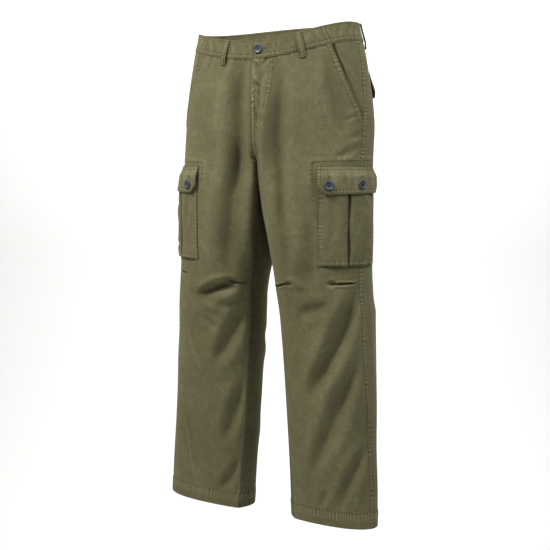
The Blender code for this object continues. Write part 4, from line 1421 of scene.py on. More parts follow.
def cut(face: Face, distance: Array, height: Array, wall: Array | float) -> Wall:
    """Wall of a piece from its face and the places of its grid.

    Args:
        face: the outer face.
        distance: distances forward of the side seam.
        height: heights.
        wall: thickness.

    Returns:
        The wall.
    """
    outer, normal, relief = face.points(distance, height)
    thickness = np.broadcast_to(wall, distance.shape)[..., None]
    inner = face.clear(outer - normal * thickness)
    return Wall(
        outer, inner, np.stack([distance, height], axis=-1), relief,
        face.surface.side is Side.RIGHT)


def level_path(surface: LegSurface, drop: float, start: float, end: float,
               count: int = 24) -> Array:
    """Path of constant drop below the waist's top edge, from one distance to another.

    Args:
        surface: the leg's surface.
        drop: how far below the top edge.
        start: first distance.
        end: last distance.
        count: how many places.

    Returns:
        Places.
    """
    distance = np.linspace(start, end, count)
    height = np.full(count, -drop)
    for _ in range(4):
        across = surface.across(distance, height)
        height = row_height(across, np.full(count, drop)) - hem_drop(
            surface.side, across, np.full(count, drop))
    return np.stack([distance, height], axis=-1)


def edge_path(edge: Line, top: float, bottom: float, count: int = 24) -> Array:
    """Path down an edge that is a distance by height."""
    height = np.linspace(top, bottom, count)
    return np.stack([edge(height), height], axis=-1)


def mouth_path(side: Side, top: float, bottom: float, count: int = 24) -> Array:
    """Path down the slant pocket mouth of one side."""
    return edge_path(lambda z: mouth_line(side, z), top, bottom, count)


# --- Panels ---


@dataclass
class Leg:
    """Front panel, back panel and hip piece of one leg, with their seams."""

    room: Workroom
    side: Side
    mouth_rows: tuple[float, float] = (0.0035, 0.0100)
    outseam_rows: tuple[float, float] = (-0.0018, -0.0094)
    inseam_row: float = 0.0022
    rise_rows: tuple[float, float] = (-0.0020, -0.0080)
    hem_row: float = 0.0325
    hem_step: float = 0.0008
    hip_step: float = 0.0042
    mouth_ramp: float = 0.009
    mouth_ramp_run: float = 0.007
    mouth_underlap: float = 0.020
    mouth_foot: float = 0.004
    outline_top: float = -0.2760
    outline_front: float = 0.0985
    outline_foot: float = -0.3165
    # Painted shade on the back panel between the legs, where the other leg shades it: how much
    # darker, and over how wide a band.
    unfaded: float = 1.5
    unfaded_width: float = 0.075
    edge_columns: tuple[float, ...] = (*CLOSE_COLUMNS, 0.0108, 0.0126, 0.0150)
    middle_columns: int = 60
    fly_columns: tuple[float, ...] = (
        *CLOSE_COLUMNS, *np.arange(0.0106, 0.0400, 0.0012).tolist(), 0.0410, 0.0430)
    fly_middle_columns: int = 48
    pressed: tuple[tuple[tuple[float, float], ...], ...] = (
        ((0.026, -0.506), (0.064, -0.570), (0.114, -0.612)),
        ((0.018, -0.580), (0.056, -0.648), (0.100, -0.726)),
        ((0.036, -0.770), (0.060, -0.880), (0.084, -0.990)))
    # Painted shade and highlight over the folds: the cloth is drawn darker in their troughs in step
    # with their depth and paler on their ridges, the depth held within these limits.
    fold_fade: float = 44.0
    faded_depths: tuple[float, float] = (-0.004, 0.014)
    threads: Threads = field(init=False)

    def __post_init__(self) -> None:
        """Start the leg's threads."""
        self.threads = Threads(f"topstitch_{self.side.word}_leg")

    @property
    def surface(self) -> LegSurface:
        """This leg's surface."""
        return self.room.surfaces[self.side]

    def drops(self) -> Array:
        """Drops of the panels' rows, closest at the fork, the knee darts and the hem."""
        fork = -CROTCH - (-CROTCH + BACK_FORK) * np.linspace(1.0, 0.0, 80) ** 1.6
        return np.concatenate([
            np.linspace(BAND_DEPTH + SEAM_GAP, -BACK_FORK, 44)[:-1],
            fork,
            -CROTCH + 0.034 * np.linspace(0.0, 1.0, 20)[1:] ** 1.3,
            np.linspace(0.306, 0.500, 72)[1:],
            np.linspace(0.500, 0.560, 54)[1:],
            np.linspace(0.560, -HEM - HEM_FOLD, 150)[1:],
            np.linspace(-HEM - HEM_FOLD, -HEM, 24)[1:],
        ])[:, None]

    def hem_seam(self, start: float, end: float, seed: float) -> Seam:
        """Hem row with the twisted puckers that washing pulls into the turned edge."""
        path = level_path(self.surface, -HEM - self.hem_row, start, end)
        return Seam(path, rows=(0.0,), band=(-0.017, 0.001), pucker=0.00065, pitch=0.0070,
                    slant=-0.06, worn=0.35, seed=seed)

    def outline(self) -> Array:
        """Reinforcing row above the cargo flap, from its foot in front round over the top."""
        shift = POCKET_SHIFT[self.side]
        front = self.outline_front + shift
        back = POCKET_BACK - 0.006 + shift
        return np.array([
            (front, self.outline_foot), (front, self.outline_top), (0.0, self.outline_top + 0.003),
            (back, self.outline_top + 0.004)])

    def over_flap(self, path: Array, seed: float) -> Seam:
        """Row of reinforcement along the outline, with the cloth under it slightly raised."""
        return Seam(path, rows=(0.0,), band=(-0.0085, 0.0), rise=0.0003, pucker=0.00030,
                    pitch=0.0085, worn=0.25, seed=seed)

    def front_face(self) -> Face:
        """Outer face of the front panel with its seams."""
        surface = self.surface
        mouth = mouth_path(self.side, -BAND_DEPTH, MOUTH_END)
        centre = edge_path(surface.front, -BAND_DEPTH, CROTCH + 0.004)
        inseam = edge_path(surface.front, CROTCH - 0.004, HEM + 0.004)
        seams = [
            Seam(mouth, rows=self.mouth_rows, band=(-0.0002, 0.0120), rise=0.0010,
                 pucker=0.00034, pitch=0.0072, slant=0.2, worn=0.30, seed=1.0),
            # Painted shadow: dark lines along the pocket mouth and the centre seam, where an
            # overlapping edge shades the cloth beside it.
            Seam(mouth, band=(-0.0004, 0.0011), worn=-2.6),
            Seam(centre, band=(-0.0008, 0.0006), worn=-1.6),
            Seam(inseam, rows=(-self.inseam_row,), band=(-0.004, 0.0), rise=0.0002,
                 pucker=0.00018, pitch=0.0066, worn=1.0, seed=2.0),
            Seam(np.array([(0.0, MOUTH_END), (0.0, HEM)]), band=(0.0, 0.0022), rise=0.0001,
                 worn=0.35, seed=2.5),
            self.hem_seam(0.0, float(surface.front(np.array(HEM))), 3.0),
            self.over_flap(self.outline(), 4.0),
            Seam(level_path(surface, BAND_DEPTH, 0.07, 0.21), band=(-0.006, 0.0),
                 pucker=0.00022, pitch=0.0105, seed=5.0, worn=0.15),
        ]
        seams += self.dart_seams()
        if self.side is Side.RIGHT:
            seams += [Seam(np.array(crease), band=(-0.0013, 0.0013), worn=0.55)
                      for crease in self.pressed]
        if self.side is Side.LEFT:
            rise = edge_path(surface.front, -0.160, CROTCH + 0.012)
            j_row = np.array([
                (0.1795, -0.0720), (0.1860, -0.1050), (0.1925, -0.1430), (0.1985, -0.1720),
                (0.2060, -0.1930), (0.2180, -0.2070)])
            seams += [
                Seam(rise, rows=self.rise_rows, band=(-0.0095, -0.0005), rise=0.0004,
                     pucker=0.00022, pitch=0.0070, worn=0.6, seed=6.0),
                Seam(j_row, rows=(0.0, 0.0055), band=(-0.001, 0.0065), rise=0.0002,
                     pucker=0.00030, pitch=0.0078, worn=0.35, seed=7.0),
            ]
        return Face(surface, flush, seams)

    def dart_seams(self) -> list[Seam]:
        """Rows just above the two knee darts, with the lip that each dart raises."""
        if self.side is Side.LEFT:
            darts = (((0.214, -0.5335), (0.146, -0.5165)), ((0.052, -0.5135), (0.003, -0.5160)))
        else:
            darts = (((0.214, -0.5315), (0.160, -0.5145)), ((0.048, -0.5135), (0.003, -0.5115)))
        return [
            Seam(np.array(dart), rows=(-0.0016,), band=(-0.004, 0.0), rise=0.0005,
                 worn=0.3, groove=0.0002, seed=8.0 + k)
            for k, dart in enumerate(darts)]

    def back_face(self) -> Face:
        """Outer face of the back panel with its seams."""
        surface = self.surface
        seams = [
            Seam(np.array([(0.0, -BAND_DEPTH), (0.0, HEM)]), rows=self.outseam_rows,
                 band=(-0.0110, 0.0), rise=0.0005, pucker=0.00056, pitch=0.0076, worn=0.36,
                 seed=11.0),
            Seam(edge_path(lambda z: -surface.back(z), CROTCH - 0.004, HEM + 0.004),
                 band=(0.0, 0.004), rise=0.0002, pucker=0.0001, worn=0.5, seed=12.0),
            Seam(edge_path(lambda z: -surface.back(z), -BAND_DEPTH, CROTCH + 0.012),
                 rows=(0.0020, 0.0080) if self.side is Side.LEFT else (),
                 band=(0.0, 0.0095), rise=0.0004, pucker=0.00028, worn=0.6, seed=13.0),
            self.hem_seam(-float(surface.back(np.array(HEM))), 0.0, 14.0),
            self.over_flap(self.outline()[1:], 15.0),
        ]
        return Face(surface, flush, seams)

    def panel(self, part: Part) -> None:
        """Panel from waist seam to hem, thicker where its hem is turned up.

        Args:
            part: front or back.
        """
        surface = self.surface
        gap = SEAM_GAP / 2
        fly = part is Part.FRONT and self.side is Side.LEFT
        columns = Columns.fine_at_edges(
            self.edge_columns, self.fly_middle_columns if fly else self.middle_columns,
            self.fly_columns if fly else None)
        drop = self.drops()
        if part is Part.FRONT:
            face = self.front_face()
            distance, height = columns.lay_out(
                surface, drop,
                lambda z: np.where(z > MOUTH_END, mouth_line(self.side, z), 0.0) + gap,
                lambda z: surface.front(z) - gap)
        else:
            face = self.back_face()
            distance, height = columns.lay_out(
                surface, drop, lambda z: gap - surface.back(z), lambda z: -gap + 0 * z)
        in_hem = smooth_step((drop + HEM + HEM_FOLD) / HEM_TURN) * np.ones_like(height)
        face.lift = lambda d, z: self.hem_step * smooth_step(
            (self.hem_top(d, z) - z) / HEM_TURN)
        wall = cut(face, distance, height, PANEL_WALL + 2 * self.hem_step * in_hem)
        depth = surface.fold_depth(surface.across(distance, height), height)
        # Painted shade in the folds' troughs and painted highlight on their ridges.
        wall.relief.worn[...] -= self.fold_fade * np.clip(depth, *self.faded_depths)
        if part is Part.BACK:
            # Painted shade on the inside of the leg, where the other leg shades it.
            wall.relief.worn[...] -= self.shelter(distance, height)
        node = f"{part.value}_{self.side.word}"
        self.room.add_cloth(
            f"{part.value}_panel_{self.side.word}", wall, self.room.twill, node, Slot.TWILL)
        self.threads.sew(face)
        if part is Part.FRONT:
            self.threads.tack(face, (0.0062, MOUTH_END - 0.004), (0.0005, MOUTH_END + 0.002))
            if self.side is Side.LEFT:
                self.threads.tack(face, (0.2165, -0.2050), (0.2225, -0.2090))

    def shelter(self, distance: Array, height: Array) -> Array:
        """Painted shade between the legs: how much darker the cloth is drawn there than outside
        them.
        """
        inside = smooth_step((-distance - self.surface.back(height)) / self.unfaded_width + 1.0)
        return self.unfaded * inside * smooth_step((BACK_FORK - height) / 0.10)

    def hem_top(self, distance: Array, height: Array) -> Array:
        """Height of the top of the hem's turned layer at each place."""
        across = self.surface.across(distance, height)
        return HEM + HEM_FOLD - hem_drop(self.side, across, np.full(across.shape, -HEM - HEM_FOLD))

    def hip(self) -> None:
        """Piece of the hip that fills the slant mouth and runs on under the front."""
        surface = self.surface
        drop = np.linspace(BAND_DEPTH + SEAM_GAP, self.mouth_foot - MOUTH_END, 76)[:, None]
        shown_share = np.linspace(0.0, 1.0, 34)[None, :]
        hidden_share = np.linspace(-0.2, 1.0, 10)[None, :]
        distance = np.zeros((len(drop), 1))
        for _ in range(3):
            height = row_height(surface.across(distance, -drop), drop)
            mouth = mouth_line(self.side, height)[:, :1]
            shown = SEAM_GAP / 2 + np.maximum(mouth - self.mouth_ramp, 0.001) * shown_share
            hidden = np.maximum(mouth + self.mouth_underlap * hidden_share, shown[:, -1:] + 0.001)
            distance = np.maximum.accumulate(np.concatenate([shown, hidden], axis=1), axis=1)
        height = row_height(surface.across(distance, height), drop)

        def lift(place: Array, level: Array) -> Array:
            """Flush with the hip at the side seam, stepped in under the mouth."""
            return -self.hip_step * smooth_step(
                (place - mouth_line(self.side, level) + self.mouth_ramp) / self.mouth_ramp_run)

        seams = [
            Seam(np.array([(0.0, -BAND_DEPTH), (0.0, MOUTH_END)]), band=(0.0, 0.003),
                 rise=0.0002, worn=0.4, seed=21.0),
            Seam(level_path(surface, BAND_DEPTH, 0.0, 0.07), band=(-0.006, 0.0),
                 pucker=0.0002, pitch=0.010, worn=0.15, seed=22.0),
            # Painted shadow: the hip piece drawn darker under the pocket mouth, where the front
            # panel's edge shades it.
            Seam(mouth_path(self.side, -BAND_DEPTH, MOUTH_END), band=(-0.0030, 0.0030),
                 worn=-2.2),
        ]
        face = Face(surface, lift, seams)
        wall = cut(face, distance, height, PANEL_WALL)
        self.room.add_cloth(
            f"hip_piece_{self.side.word}", wall, self.room.twill, f"hip_panel_{self.side.word}",
            Slot.TRIM)

    def build(self) -> None:
        """Make the leg's panels and their stitching."""
        self.panel(Part.FRONT)
        self.panel(Part.BACK)
        self.hip()
        self.threads.build(self.room, self.room.thread)


# --- Waist ---


@dataclass
class Waist:
    """Waistband in three pieces, belt loops, fly and button."""

    room: Workroom
    band_wall: float = 0.0026
    band_rows: tuple[float, ...] = (0.0285, 0.0348)
    top_row: float = 0.0022
    loop_width: float = 0.0125
    loop_below: float = 0.015
    loop_bow: float = 0.0026
    side_loop_bow: float = 0.0012
    side_loop_folded: float = 0.0013
    loop_top: float = 0.001
    loop_gap: float = 0.0001
    front_loops: dict[Side, float] = field(
        default_factory=lambda: {Side.RIGHT: 0.154, Side.LEFT: 0.119})
    side_loop: float = -0.040
    fly_width: tuple[float, float] = (0.0180, 0.0080)
    fly_foot: float = 0.166
    button_in: float = 0.013
    hole_in: float = 0.0215
    hole_length: float = 0.017
    drops: int = 28
    loop_drops: int = 60
    under_fade: float = 0.009
    threads: Threads = field(default_factory=lambda: Threads("topstitch_waist"))
    dark: Threads = field(default_factory=lambda: Threads("buttonhole_waist"))

    def band_face(self, side: Side, extra: float, start: float, end: float) -> Face:
        """Outer face of a stretch of the band with its rows and its slack puckers.

        Args:
            side: whose half.
            extra: lift beyond the band's own.
            start: first distance.
            end: last distance.

        Returns:
            The face.
        """
        surface = self.room.surfaces[side]
        seed = 31.0 + 3.0 * side.value + 11.0 * abs(start)
        foot = level_path(surface, self.band_rows[1], start, end, 40)
        top = level_path(surface, self.top_row, start, end, 40)
        middle = level_path(surface, 0.016, start, end, 40)
        gap = self.band_rows[1] - self.band_rows[0]
        forward = 1.0 if end > start else -1.0
        seams = [
            Seam(foot, rows=(0.0, gap * forward), band=tuple(sorted((0.0, gap * forward))),
                 rise=0.0002, pucker=0.00032, pitch=0.0072, worn=0.26, seed=seed),
            Seam(top, rows=(-0.0012,), band=(-0.0022, 0.0016), worn=0.5, seed=seed + 1.0),
            Seam(middle, band=(-0.011, 0.011), pucker=0.00022, pitch=0.0235, slant=0.8,
                 seed=seed + 2.0),
            Seam(middle, band=(-0.013, 0.005), pucker=0.00016, pitch=0.0117, slant=-0.4,
                 seed=seed + 3.0),
        ]
        return Face(surface, lambda distance, height: BAND_LIFT + extra + 0.0 * distance, seams)

    def band_front(self, side: Side) -> None:
        """Waistband from the pocket mouth to the centre front.

        Args:
            side: whose half.
        """
        surface = self.room.surfaces[side]
        drop = np.linspace(0.0, BAND_DEPTH, self.drops)[:, None]
        columns = Columns.fine_at_edges(BAND_COLUMNS, 100)
        distance, height = columns.lay_out(
            surface, drop, lambda z: mouth_line(side, z) + SEAM_GAP / 2,
            lambda z: surface.front(z) - SEAM_GAP / 2)
        face = self.band_face(side, FRONT_BAND_EXTRA, 0.062, 0.214)
        if side is Side.LEFT:
            edge = edge_path(surface.front, -0.034, -0.071, 4)
            face.seams += [
                Seam(edge, rows=(-0.0026,), band=(-0.003, 0.0), worn=0.4, seed=41.0),
                # Painted shadow along the band's overlapping front end.
                Seam(edge, band=(-0.0007, 0.0007), worn=-2.0)]
        mouth = mouth_path(side, 0.0, -BAND_DEPTH, 6)
        face.seams += [
            Seam(mouth, rows=(0.0090,), band=(0.0, 0.004), worn=0.4, seed=42.0),
            # Painted shadow along the band's split at the pocket mouth.
            Seam(mouth, band=(-0.0008, 0.0007), worn=-2.4)]
        wall = cut(face, distance, height, self.band_wall + FRONT_BAND_EXTRA)
        name = f"waistband_front_{side.word}"
        self.room.add_cloth(f"band_front_{side.word}", wall, self.room.trim, name, Slot.TRIM)
        self.threads.sew(face)
        if side is Side.LEFT:
            self.button(face)

    def button(self, face: Face) -> None:
        """Button and buttonhole of the left band's front end.

        Args:
            face: the band's face.
        """
        height = -BAND_DEPTH / 2 - FRONT_DIP + 0.0005
        edge = float(face.surface.front(np.array(height)))
        Button("button_waist", "waist_button").build(
            self.room, face, edge - self.button_in, height)
        self.dark.buttonhole(face, (edge - self.hole_in, height), (1.0, 0.0), self.hole_length)

    def band_back(self) -> None:
        """Waistband from one pocket mouth round the back to the other, in one piece."""
        drop = np.linspace(0.0, BAND_DEPTH, self.drops)[:, None]
        columns = Columns.fine_at_edges(BAND_COLUMNS, 140)
        walls = []
        for side in (Side.LEFT, Side.RIGHT):
            surface = self.room.surfaces[side]
            distance, height = columns.lay_out(
                surface, drop, lambda z: -surface.back(z),
                lambda z, side=side: mouth_line(side, z) - SEAM_GAP / 2)
            face = self.band_face(side, FRONT_BAND_EXTRA / 2, -0.255, 0.068)
            # Painted shadow along the band's split at the pocket mouth.
            face.seams.append(Seam(
                mouth_path(side, 0.0, -BAND_DEPTH, 6), band=(-0.0006, 0.0010), worn=-2.0))
            face.centred = False
            walls.append(cut(face, distance, height, self.band_wall))
            self.threads.sew(face)
        self.room.add_cloth(
            "band_back", self.joined(*walls), self.room.trim, "waistband_back", Slot.TRIM)

    def joined(self, left: Wall, right: Wall) -> Wall:
        """One wall from a left and a right half that meet at the centre back.

        Args:
            left: the left half, from the back forward.
            right: the right half, from the back forward.

        Returns:
            The wall from the left's front end round to the right's.
        """
        for layer in (left.outer, left.inner):
            layer[:, 0, 0] = 0.0
        shift = right.places.copy()
        shift[..., 0] = 2 * left.places[:, :1, 0] - shift[..., 0]
        grids = [(left.outer, right.outer), (left.inner, right.inner), (left.places, shift)]
        grids += [(getattr(left.relief, mark), getattr(right.relief, mark))
                  for mark in ("raised", *MARKS)]
        whole = [np.concatenate([a[:, ::-1], b[:, 1:]], axis=1) for a, b in grids]
        return Wall(*whole[:3], Relief(*whole[3:]), True)

    def along_loop(self) -> Array:
        """Drops of a loop's rows, from its top to its foot."""
        foot = BAND_DEPTH + self.loop_below
        return np.linspace(self.loop_top, foot, self.loop_drops)[:, None]

    def loop_lift(self, height: Array, across: Array, bow: float) -> Array:
        """How far a loop stands out: a sine bow between its two sewn ends.

        Args:
            height: heights.
            across: shares of the panel.
            bow: how far its middle stands off.

        Returns:
            Lifts.
        """
        foot = BAND_DEPTH + self.loop_below
        drop = row_height(across, np.zeros(height.shape)) - height
        share = np.clip((drop - self.loop_top) / (foot - self.loop_top), 0.0, 1.0)
        bow = bow * np.sin(np.pi * share) ** 0.8
        under = (BAND_LIFT + FRONT_BAND_EXTRA) * (
            1.0 - smooth_step((drop - BAND_DEPTH - 0.001) / self.under_fade))
        return under + self.loop_gap + STRAP_WALL + bow

    def loop(self, word: str, side: Side, middle: float, bow: float,
             folded: float = 0.0) -> None:
        """Strip from the band's top edge to below its seam, edges turned and stitched.

        Args:
            word: front or side.
            side: whose half.
            middle: distance of the loop's middle.
            bow: how far it stands off between its ends.
            folded: how much thicker its folded cloth is; a folded loop also gets lines of painted
                shade along its edges.
        """
        surface = self.room.surfaces[side]
        drop = self.along_loop()
        over = self.loop_width * np.linspace(-0.5, 0.5, 13)[None, :]
        distance, height = settle(surface, drop, lambda z: middle + over + 0.0 * z)

        def lift(place: Array, level: Array) -> Array:
            """Bowed out along its length and slightly crowned across it."""
            crown = 0.0004 * (1.0 - (2.0 * (place - middle) / self.loop_width) ** 2)
            return self.loop_lift(level, surface.across(place, level), bow) + crown + folded

        path = np.stack([np.full(9, middle), height[::7, 6]], axis=-1)
        seams = [
            Seam(path, rows=(-0.0032, 0.0032), band=(-0.005, 0.005), worn=0.4, seed=51.0),
            Seam(path, band=(-0.0015, 0.0015), rise=0.0002, pucker=0.0001, worn=0.2, seed=52.0),
        ]
        if folded:
            # Painted shade: dark lines along both edges of a folded side loop, which stands in
            # shade beside the band.
            seams += [
                Seam(path + (edge * self.loop_width / 2, 0.0), band=(-0.0012, 0.0012), worn=-1.8)
                for edge in (-1.0, 1.0)]
        face = Face(surface, lift, seams, centred=False)
        wall = cut(face, distance, height, STRAP_WALL + folded)
        name = f"loop_{word}_{side.word}"
        self.room.add_cloth(name, wall, self.room.trim, f"belt_{name}", Slot.TRIM)
        self.threads.sew(face)
        self.tacks(face, middle, float(height[0, 6]), float(height[-1, 6]))

    def tacks(self, face: Face, middle: float, top: float, foot: float) -> None:
        """Bar tacks at a loop's head and foot.

        Args:
            face: the loop's face.
            middle: distance of its middle.
            top: height of its head.
            foot: height of its foot.
        """
        half = self.loop_width / 2 - 0.0006
        for level in (top - 0.003, foot + 0.0025, foot + 0.0075):
            self.threads.tack(face, (middle - half, level), (middle + half, level))

    def back_loop(self) -> None:
        """Belt loop over the centre back seam."""
        drop = self.along_loop()
        walls = []
        for side in (Side.LEFT, Side.RIGHT):
            surface = self.room.surfaces[side]
            over = self.loop_width / 2 * np.linspace(0.0, 1.0, 8)[None, :]
            distance, height = settle(
                surface, drop, lambda z, surface=surface, over=over: over - surface.back(z))

            def lift(place: Array, level: Array, surface: LegSurface = surface) -> Array:
                """Bowed out along its length."""
                return self.loop_lift(level, surface.across(place, level), self.loop_bow)

            middle = -surface.back(height[::7, 0])
            path = np.stack([middle, height[::7, 0]], axis=-1)
            seams = [Seam(path, rows=(0.0032,), band=(0.0, 0.005), worn=0.4, seed=53.0)]
            face = Face(surface, lift, seams, centred=False)
            walls.append(cut(face, distance, height, STRAP_WALL))
            self.threads.sew(face)
            for level in (float(height[0, 0]) - 0.003, float(height[-1, 0]) + 0.0025):
                edge = -float(surface.back(np.array(level)))
                self.threads.tack(face, (edge, level), (edge + 0.0044, level))
        self.room.add_cloth(
            "loop_back", self.joined(*walls), self.room.trim, "belt_loop_back", Slot.TRIM)

    def fly(self) -> None:
        """Turned edge of the fly, a strip on the left front beside the centre seam."""
        surface = self.room.surfaces[Side.LEFT]
        drop = np.linspace(BAND_DEPTH + 3 * SEAM_GAP, self.fly_foot, 84)[:, None]
        width = np.linspace(*self.fly_width, len(drop))[:, None] - 0.0010 * np.sin(
            88.0 * drop + 1.0) ** 2
        inward = SEAM_GAP + (width - SEAM_GAP) * np.linspace(1.0, 0.0, 21)[None, :]
        distance, height = settle(surface, drop, lambda z: surface.front(z) - inward)
        edge = edge_path(surface.front, -0.071, -0.176)
        seams = [
            # Painted shadow: a dark line along the centre seam, where the fly's edge overlaps the
            # other front.
            Seam(edge, band=(-0.0008, 0.0008), worn=-1.8),
            Seam(edge, band=(-0.0030, -0.0004), rise=0.0002, worn=0.3, seed=61.0),
            Seam(edge, band=(-0.016, -0.001), pucker=0.0005, pitch=0.031, slant=0.7, seed=63.0),
            Seam(edge, band=(-0.012, -0.002), pucker=0.0003, pitch=0.0145, slant=-0.5, seed=64.0),
        ]

        def thickness(d: Array, z: Array) -> Array:
            """Pressed thin towards its free edge and its foot.

            Args:
                d: distances.
                z: heights.

            Returns:
                Thicknesses.
            """
            down = np.clip((-z - BAND_DEPTH) / (self.fly_foot - BAND_DEPTH), 0.0, 1.0)
            width = self.fly_width[0] + (self.fly_width[1] - self.fly_width[0]) * down
            free = smooth_step((d - surface.front(z) + width) / 0.006)
            foot = smooth_step((z - height.min()) / 0.030)
            return PANEL_WALL * (0.22 + 0.78 * free * foot)

        face = Face(surface, lambda d, z: LAYER_GAP + thickness(d, z), seams)
        wall = cut(face, distance, height, thickness(distance, height))
        self.room.add_cloth("fly_edge", wall, self.room.trim, "fly_flap", Slot.TRIM)

    def build(self) -> None:
        """Make the waist's pieces and their stitching."""
        self.band_back()
        for side in Side:
            self.band_front(side)
            self.loop("front", side, self.front_loops[side], self.loop_bow)
            self.loop("side", side, self.side_loop, self.side_loop_bow, self.side_loop_folded)
        self.back_loop()
        self.fly()
        self.threads.build(self.room, self.room.thread)
        self.dark.build(self.room, self.room.dark_thread)


# --- Pockets and buttons ---


@dataclass
class Button:
    """Round four-hole button with a raised rim and a sunk middle, sewn on with crossed thread."""

    name: str
    node: str
    radius: float = 0.0095
    thickness: float = 0.0030
    hole_out: float = 0.0021
    hole_radius: float = 0.00085
    hole_depth: float = 0.0012
    sunk: float = 0.60
    thread: float = 0.0003
    steps: int = 56

    # Rings from the well over the rim to the underside: shares of the radius and the thickness.
    WELL_RINGS = 15
    RIM = (
        (0.52, 0.61), (0.58, 0.66), (0.63, 0.78), (0.68, 0.90), (0.74, 0.97), (0.82, 1.0),
        (0.89, 0.985), (0.94, 0.94), (0.975, 0.86), (1.0, 0.72), (1.0, 0.45), (0.97, 0.15),
        (0.9, 0.03), (0.8, 0.0), (0.4, 0.0), (0.02, 0.0))

    def surface(self) -> Array:
        """Grid of rings: a turned profile with four bell-shaped pits round the middle.

        Returns:
            Rings by steps, as right, up and out.
        """
        well = [(share, self.sunk) for share in np.linspace(0.02, 0.46, self.WELL_RINGS)]
        radius, level = np.array([*well, *self.RIM]).T
        angle = np.linspace(0.0, 2 * np.pi, self.steps, endpoint=False)
        x = self.radius * radius[:, None] * np.cos(angle)
        y = self.radius * radius[:, None] * np.sin(angle)
        out = self.thickness * level[:, None] + 0.0 * x
        for turn in (45, 135, 225, 315):
            gap = np.hypot(
                x - self.hole_out * np.cos(np.radians(turn)),
                y - self.hole_out * np.sin(np.radians(turn)))
            pit = self.hole_depth * smooth_step((self.hole_radius - gap) / 0.00035 + 0.5)
            out = out - np.where(np.arange(len(radius))[:, None] < self.WELL_RINGS, pit, 0.0)
        return np.stack([x, y, out], axis=-1)

    def build(self, room: Workroom, face: Face, distance: float, height: float) -> None:
        """Set the button on a face and sew it.

        Args:
            room: the workroom.
            face: the face under it.
            distance: its place.
            height: its height.
        """
        at = (np.array([distance]), np.array([height]))
        point, normal, _ = face.points(*at, LAYER_GAP)
        axis = normal[0]
        up = np.array([0.0, 0.0, 1.0]) - axis * axis[2]
        up /= np.linalg.norm(up)
        basis = np.stack([np.cross(up, axis), up, axis])
        grid = self.surface()
        rings, steps = grid.shape[:2]
        points = grid.reshape(-1, 3) @ basis + point[0]
        ids = np.arange(rings * steps).reshape(rings, steps)
        after = np.roll(ids, -1, axis=1)
        quads = np.stack([ids[:-1], ids[1:], after[1:], after[:-1]], axis=-1).reshape(-1, 4)
        middles = np.array([grid[0].mean(axis=0), grid[-1].mean(axis=0)]) @ basis + point[0]
        count = len(points)
        caps = np.concatenate([
            np.stack([np.full(steps, count), ids[0], after[0], after[0]], axis=-1),
            np.stack([np.full(steps, count + 1), after[-1], ids[-1], ids[-1]], axis=-1)])
        mesh = bpy.data.meshes.new(self.name)
        mesh.from_pydata(
            np.concatenate([points, middles]).tolist(), [],
            quads.tolist() + caps[:, :3].tolist())
        mesh.shade_smooth()
        mesh.set_sharp_from_angle(angle=np.radians(SHARP_ANGLE))
        room.add(self.name, mesh, room.horn, self.node, Slot.BUTTON)
        self.sew_on(room, basis, point[0])

    def sew_on(self, room: Workroom, basis: Array, point: Array) -> None:
        """Two crossed bars of thread between the holes.

        Args:
            room: the workroom.
            basis: the button's right, up and out.
            point: where its underside's middle lies.
        """
        threads = Threads(f"{self.name}_thread")
        reach = self.hole_out * np.sqrt(0.5)
        out = self.sunk * self.thickness
        for start, end in (((-1, -1), (1, 1)), ((-1, 1), (1, -1))):
            for shift in (-self.thread, 0.0, self.thread):
                ends = [
                    np.array([[x * reach, y * reach + shift, out + 0.0001]]) @ basis + point
                    for x, y in (start, end)]
                threads.join(*ends, basis[2][None, :], self.thread)
        threads.build(room, room.dark_thread)


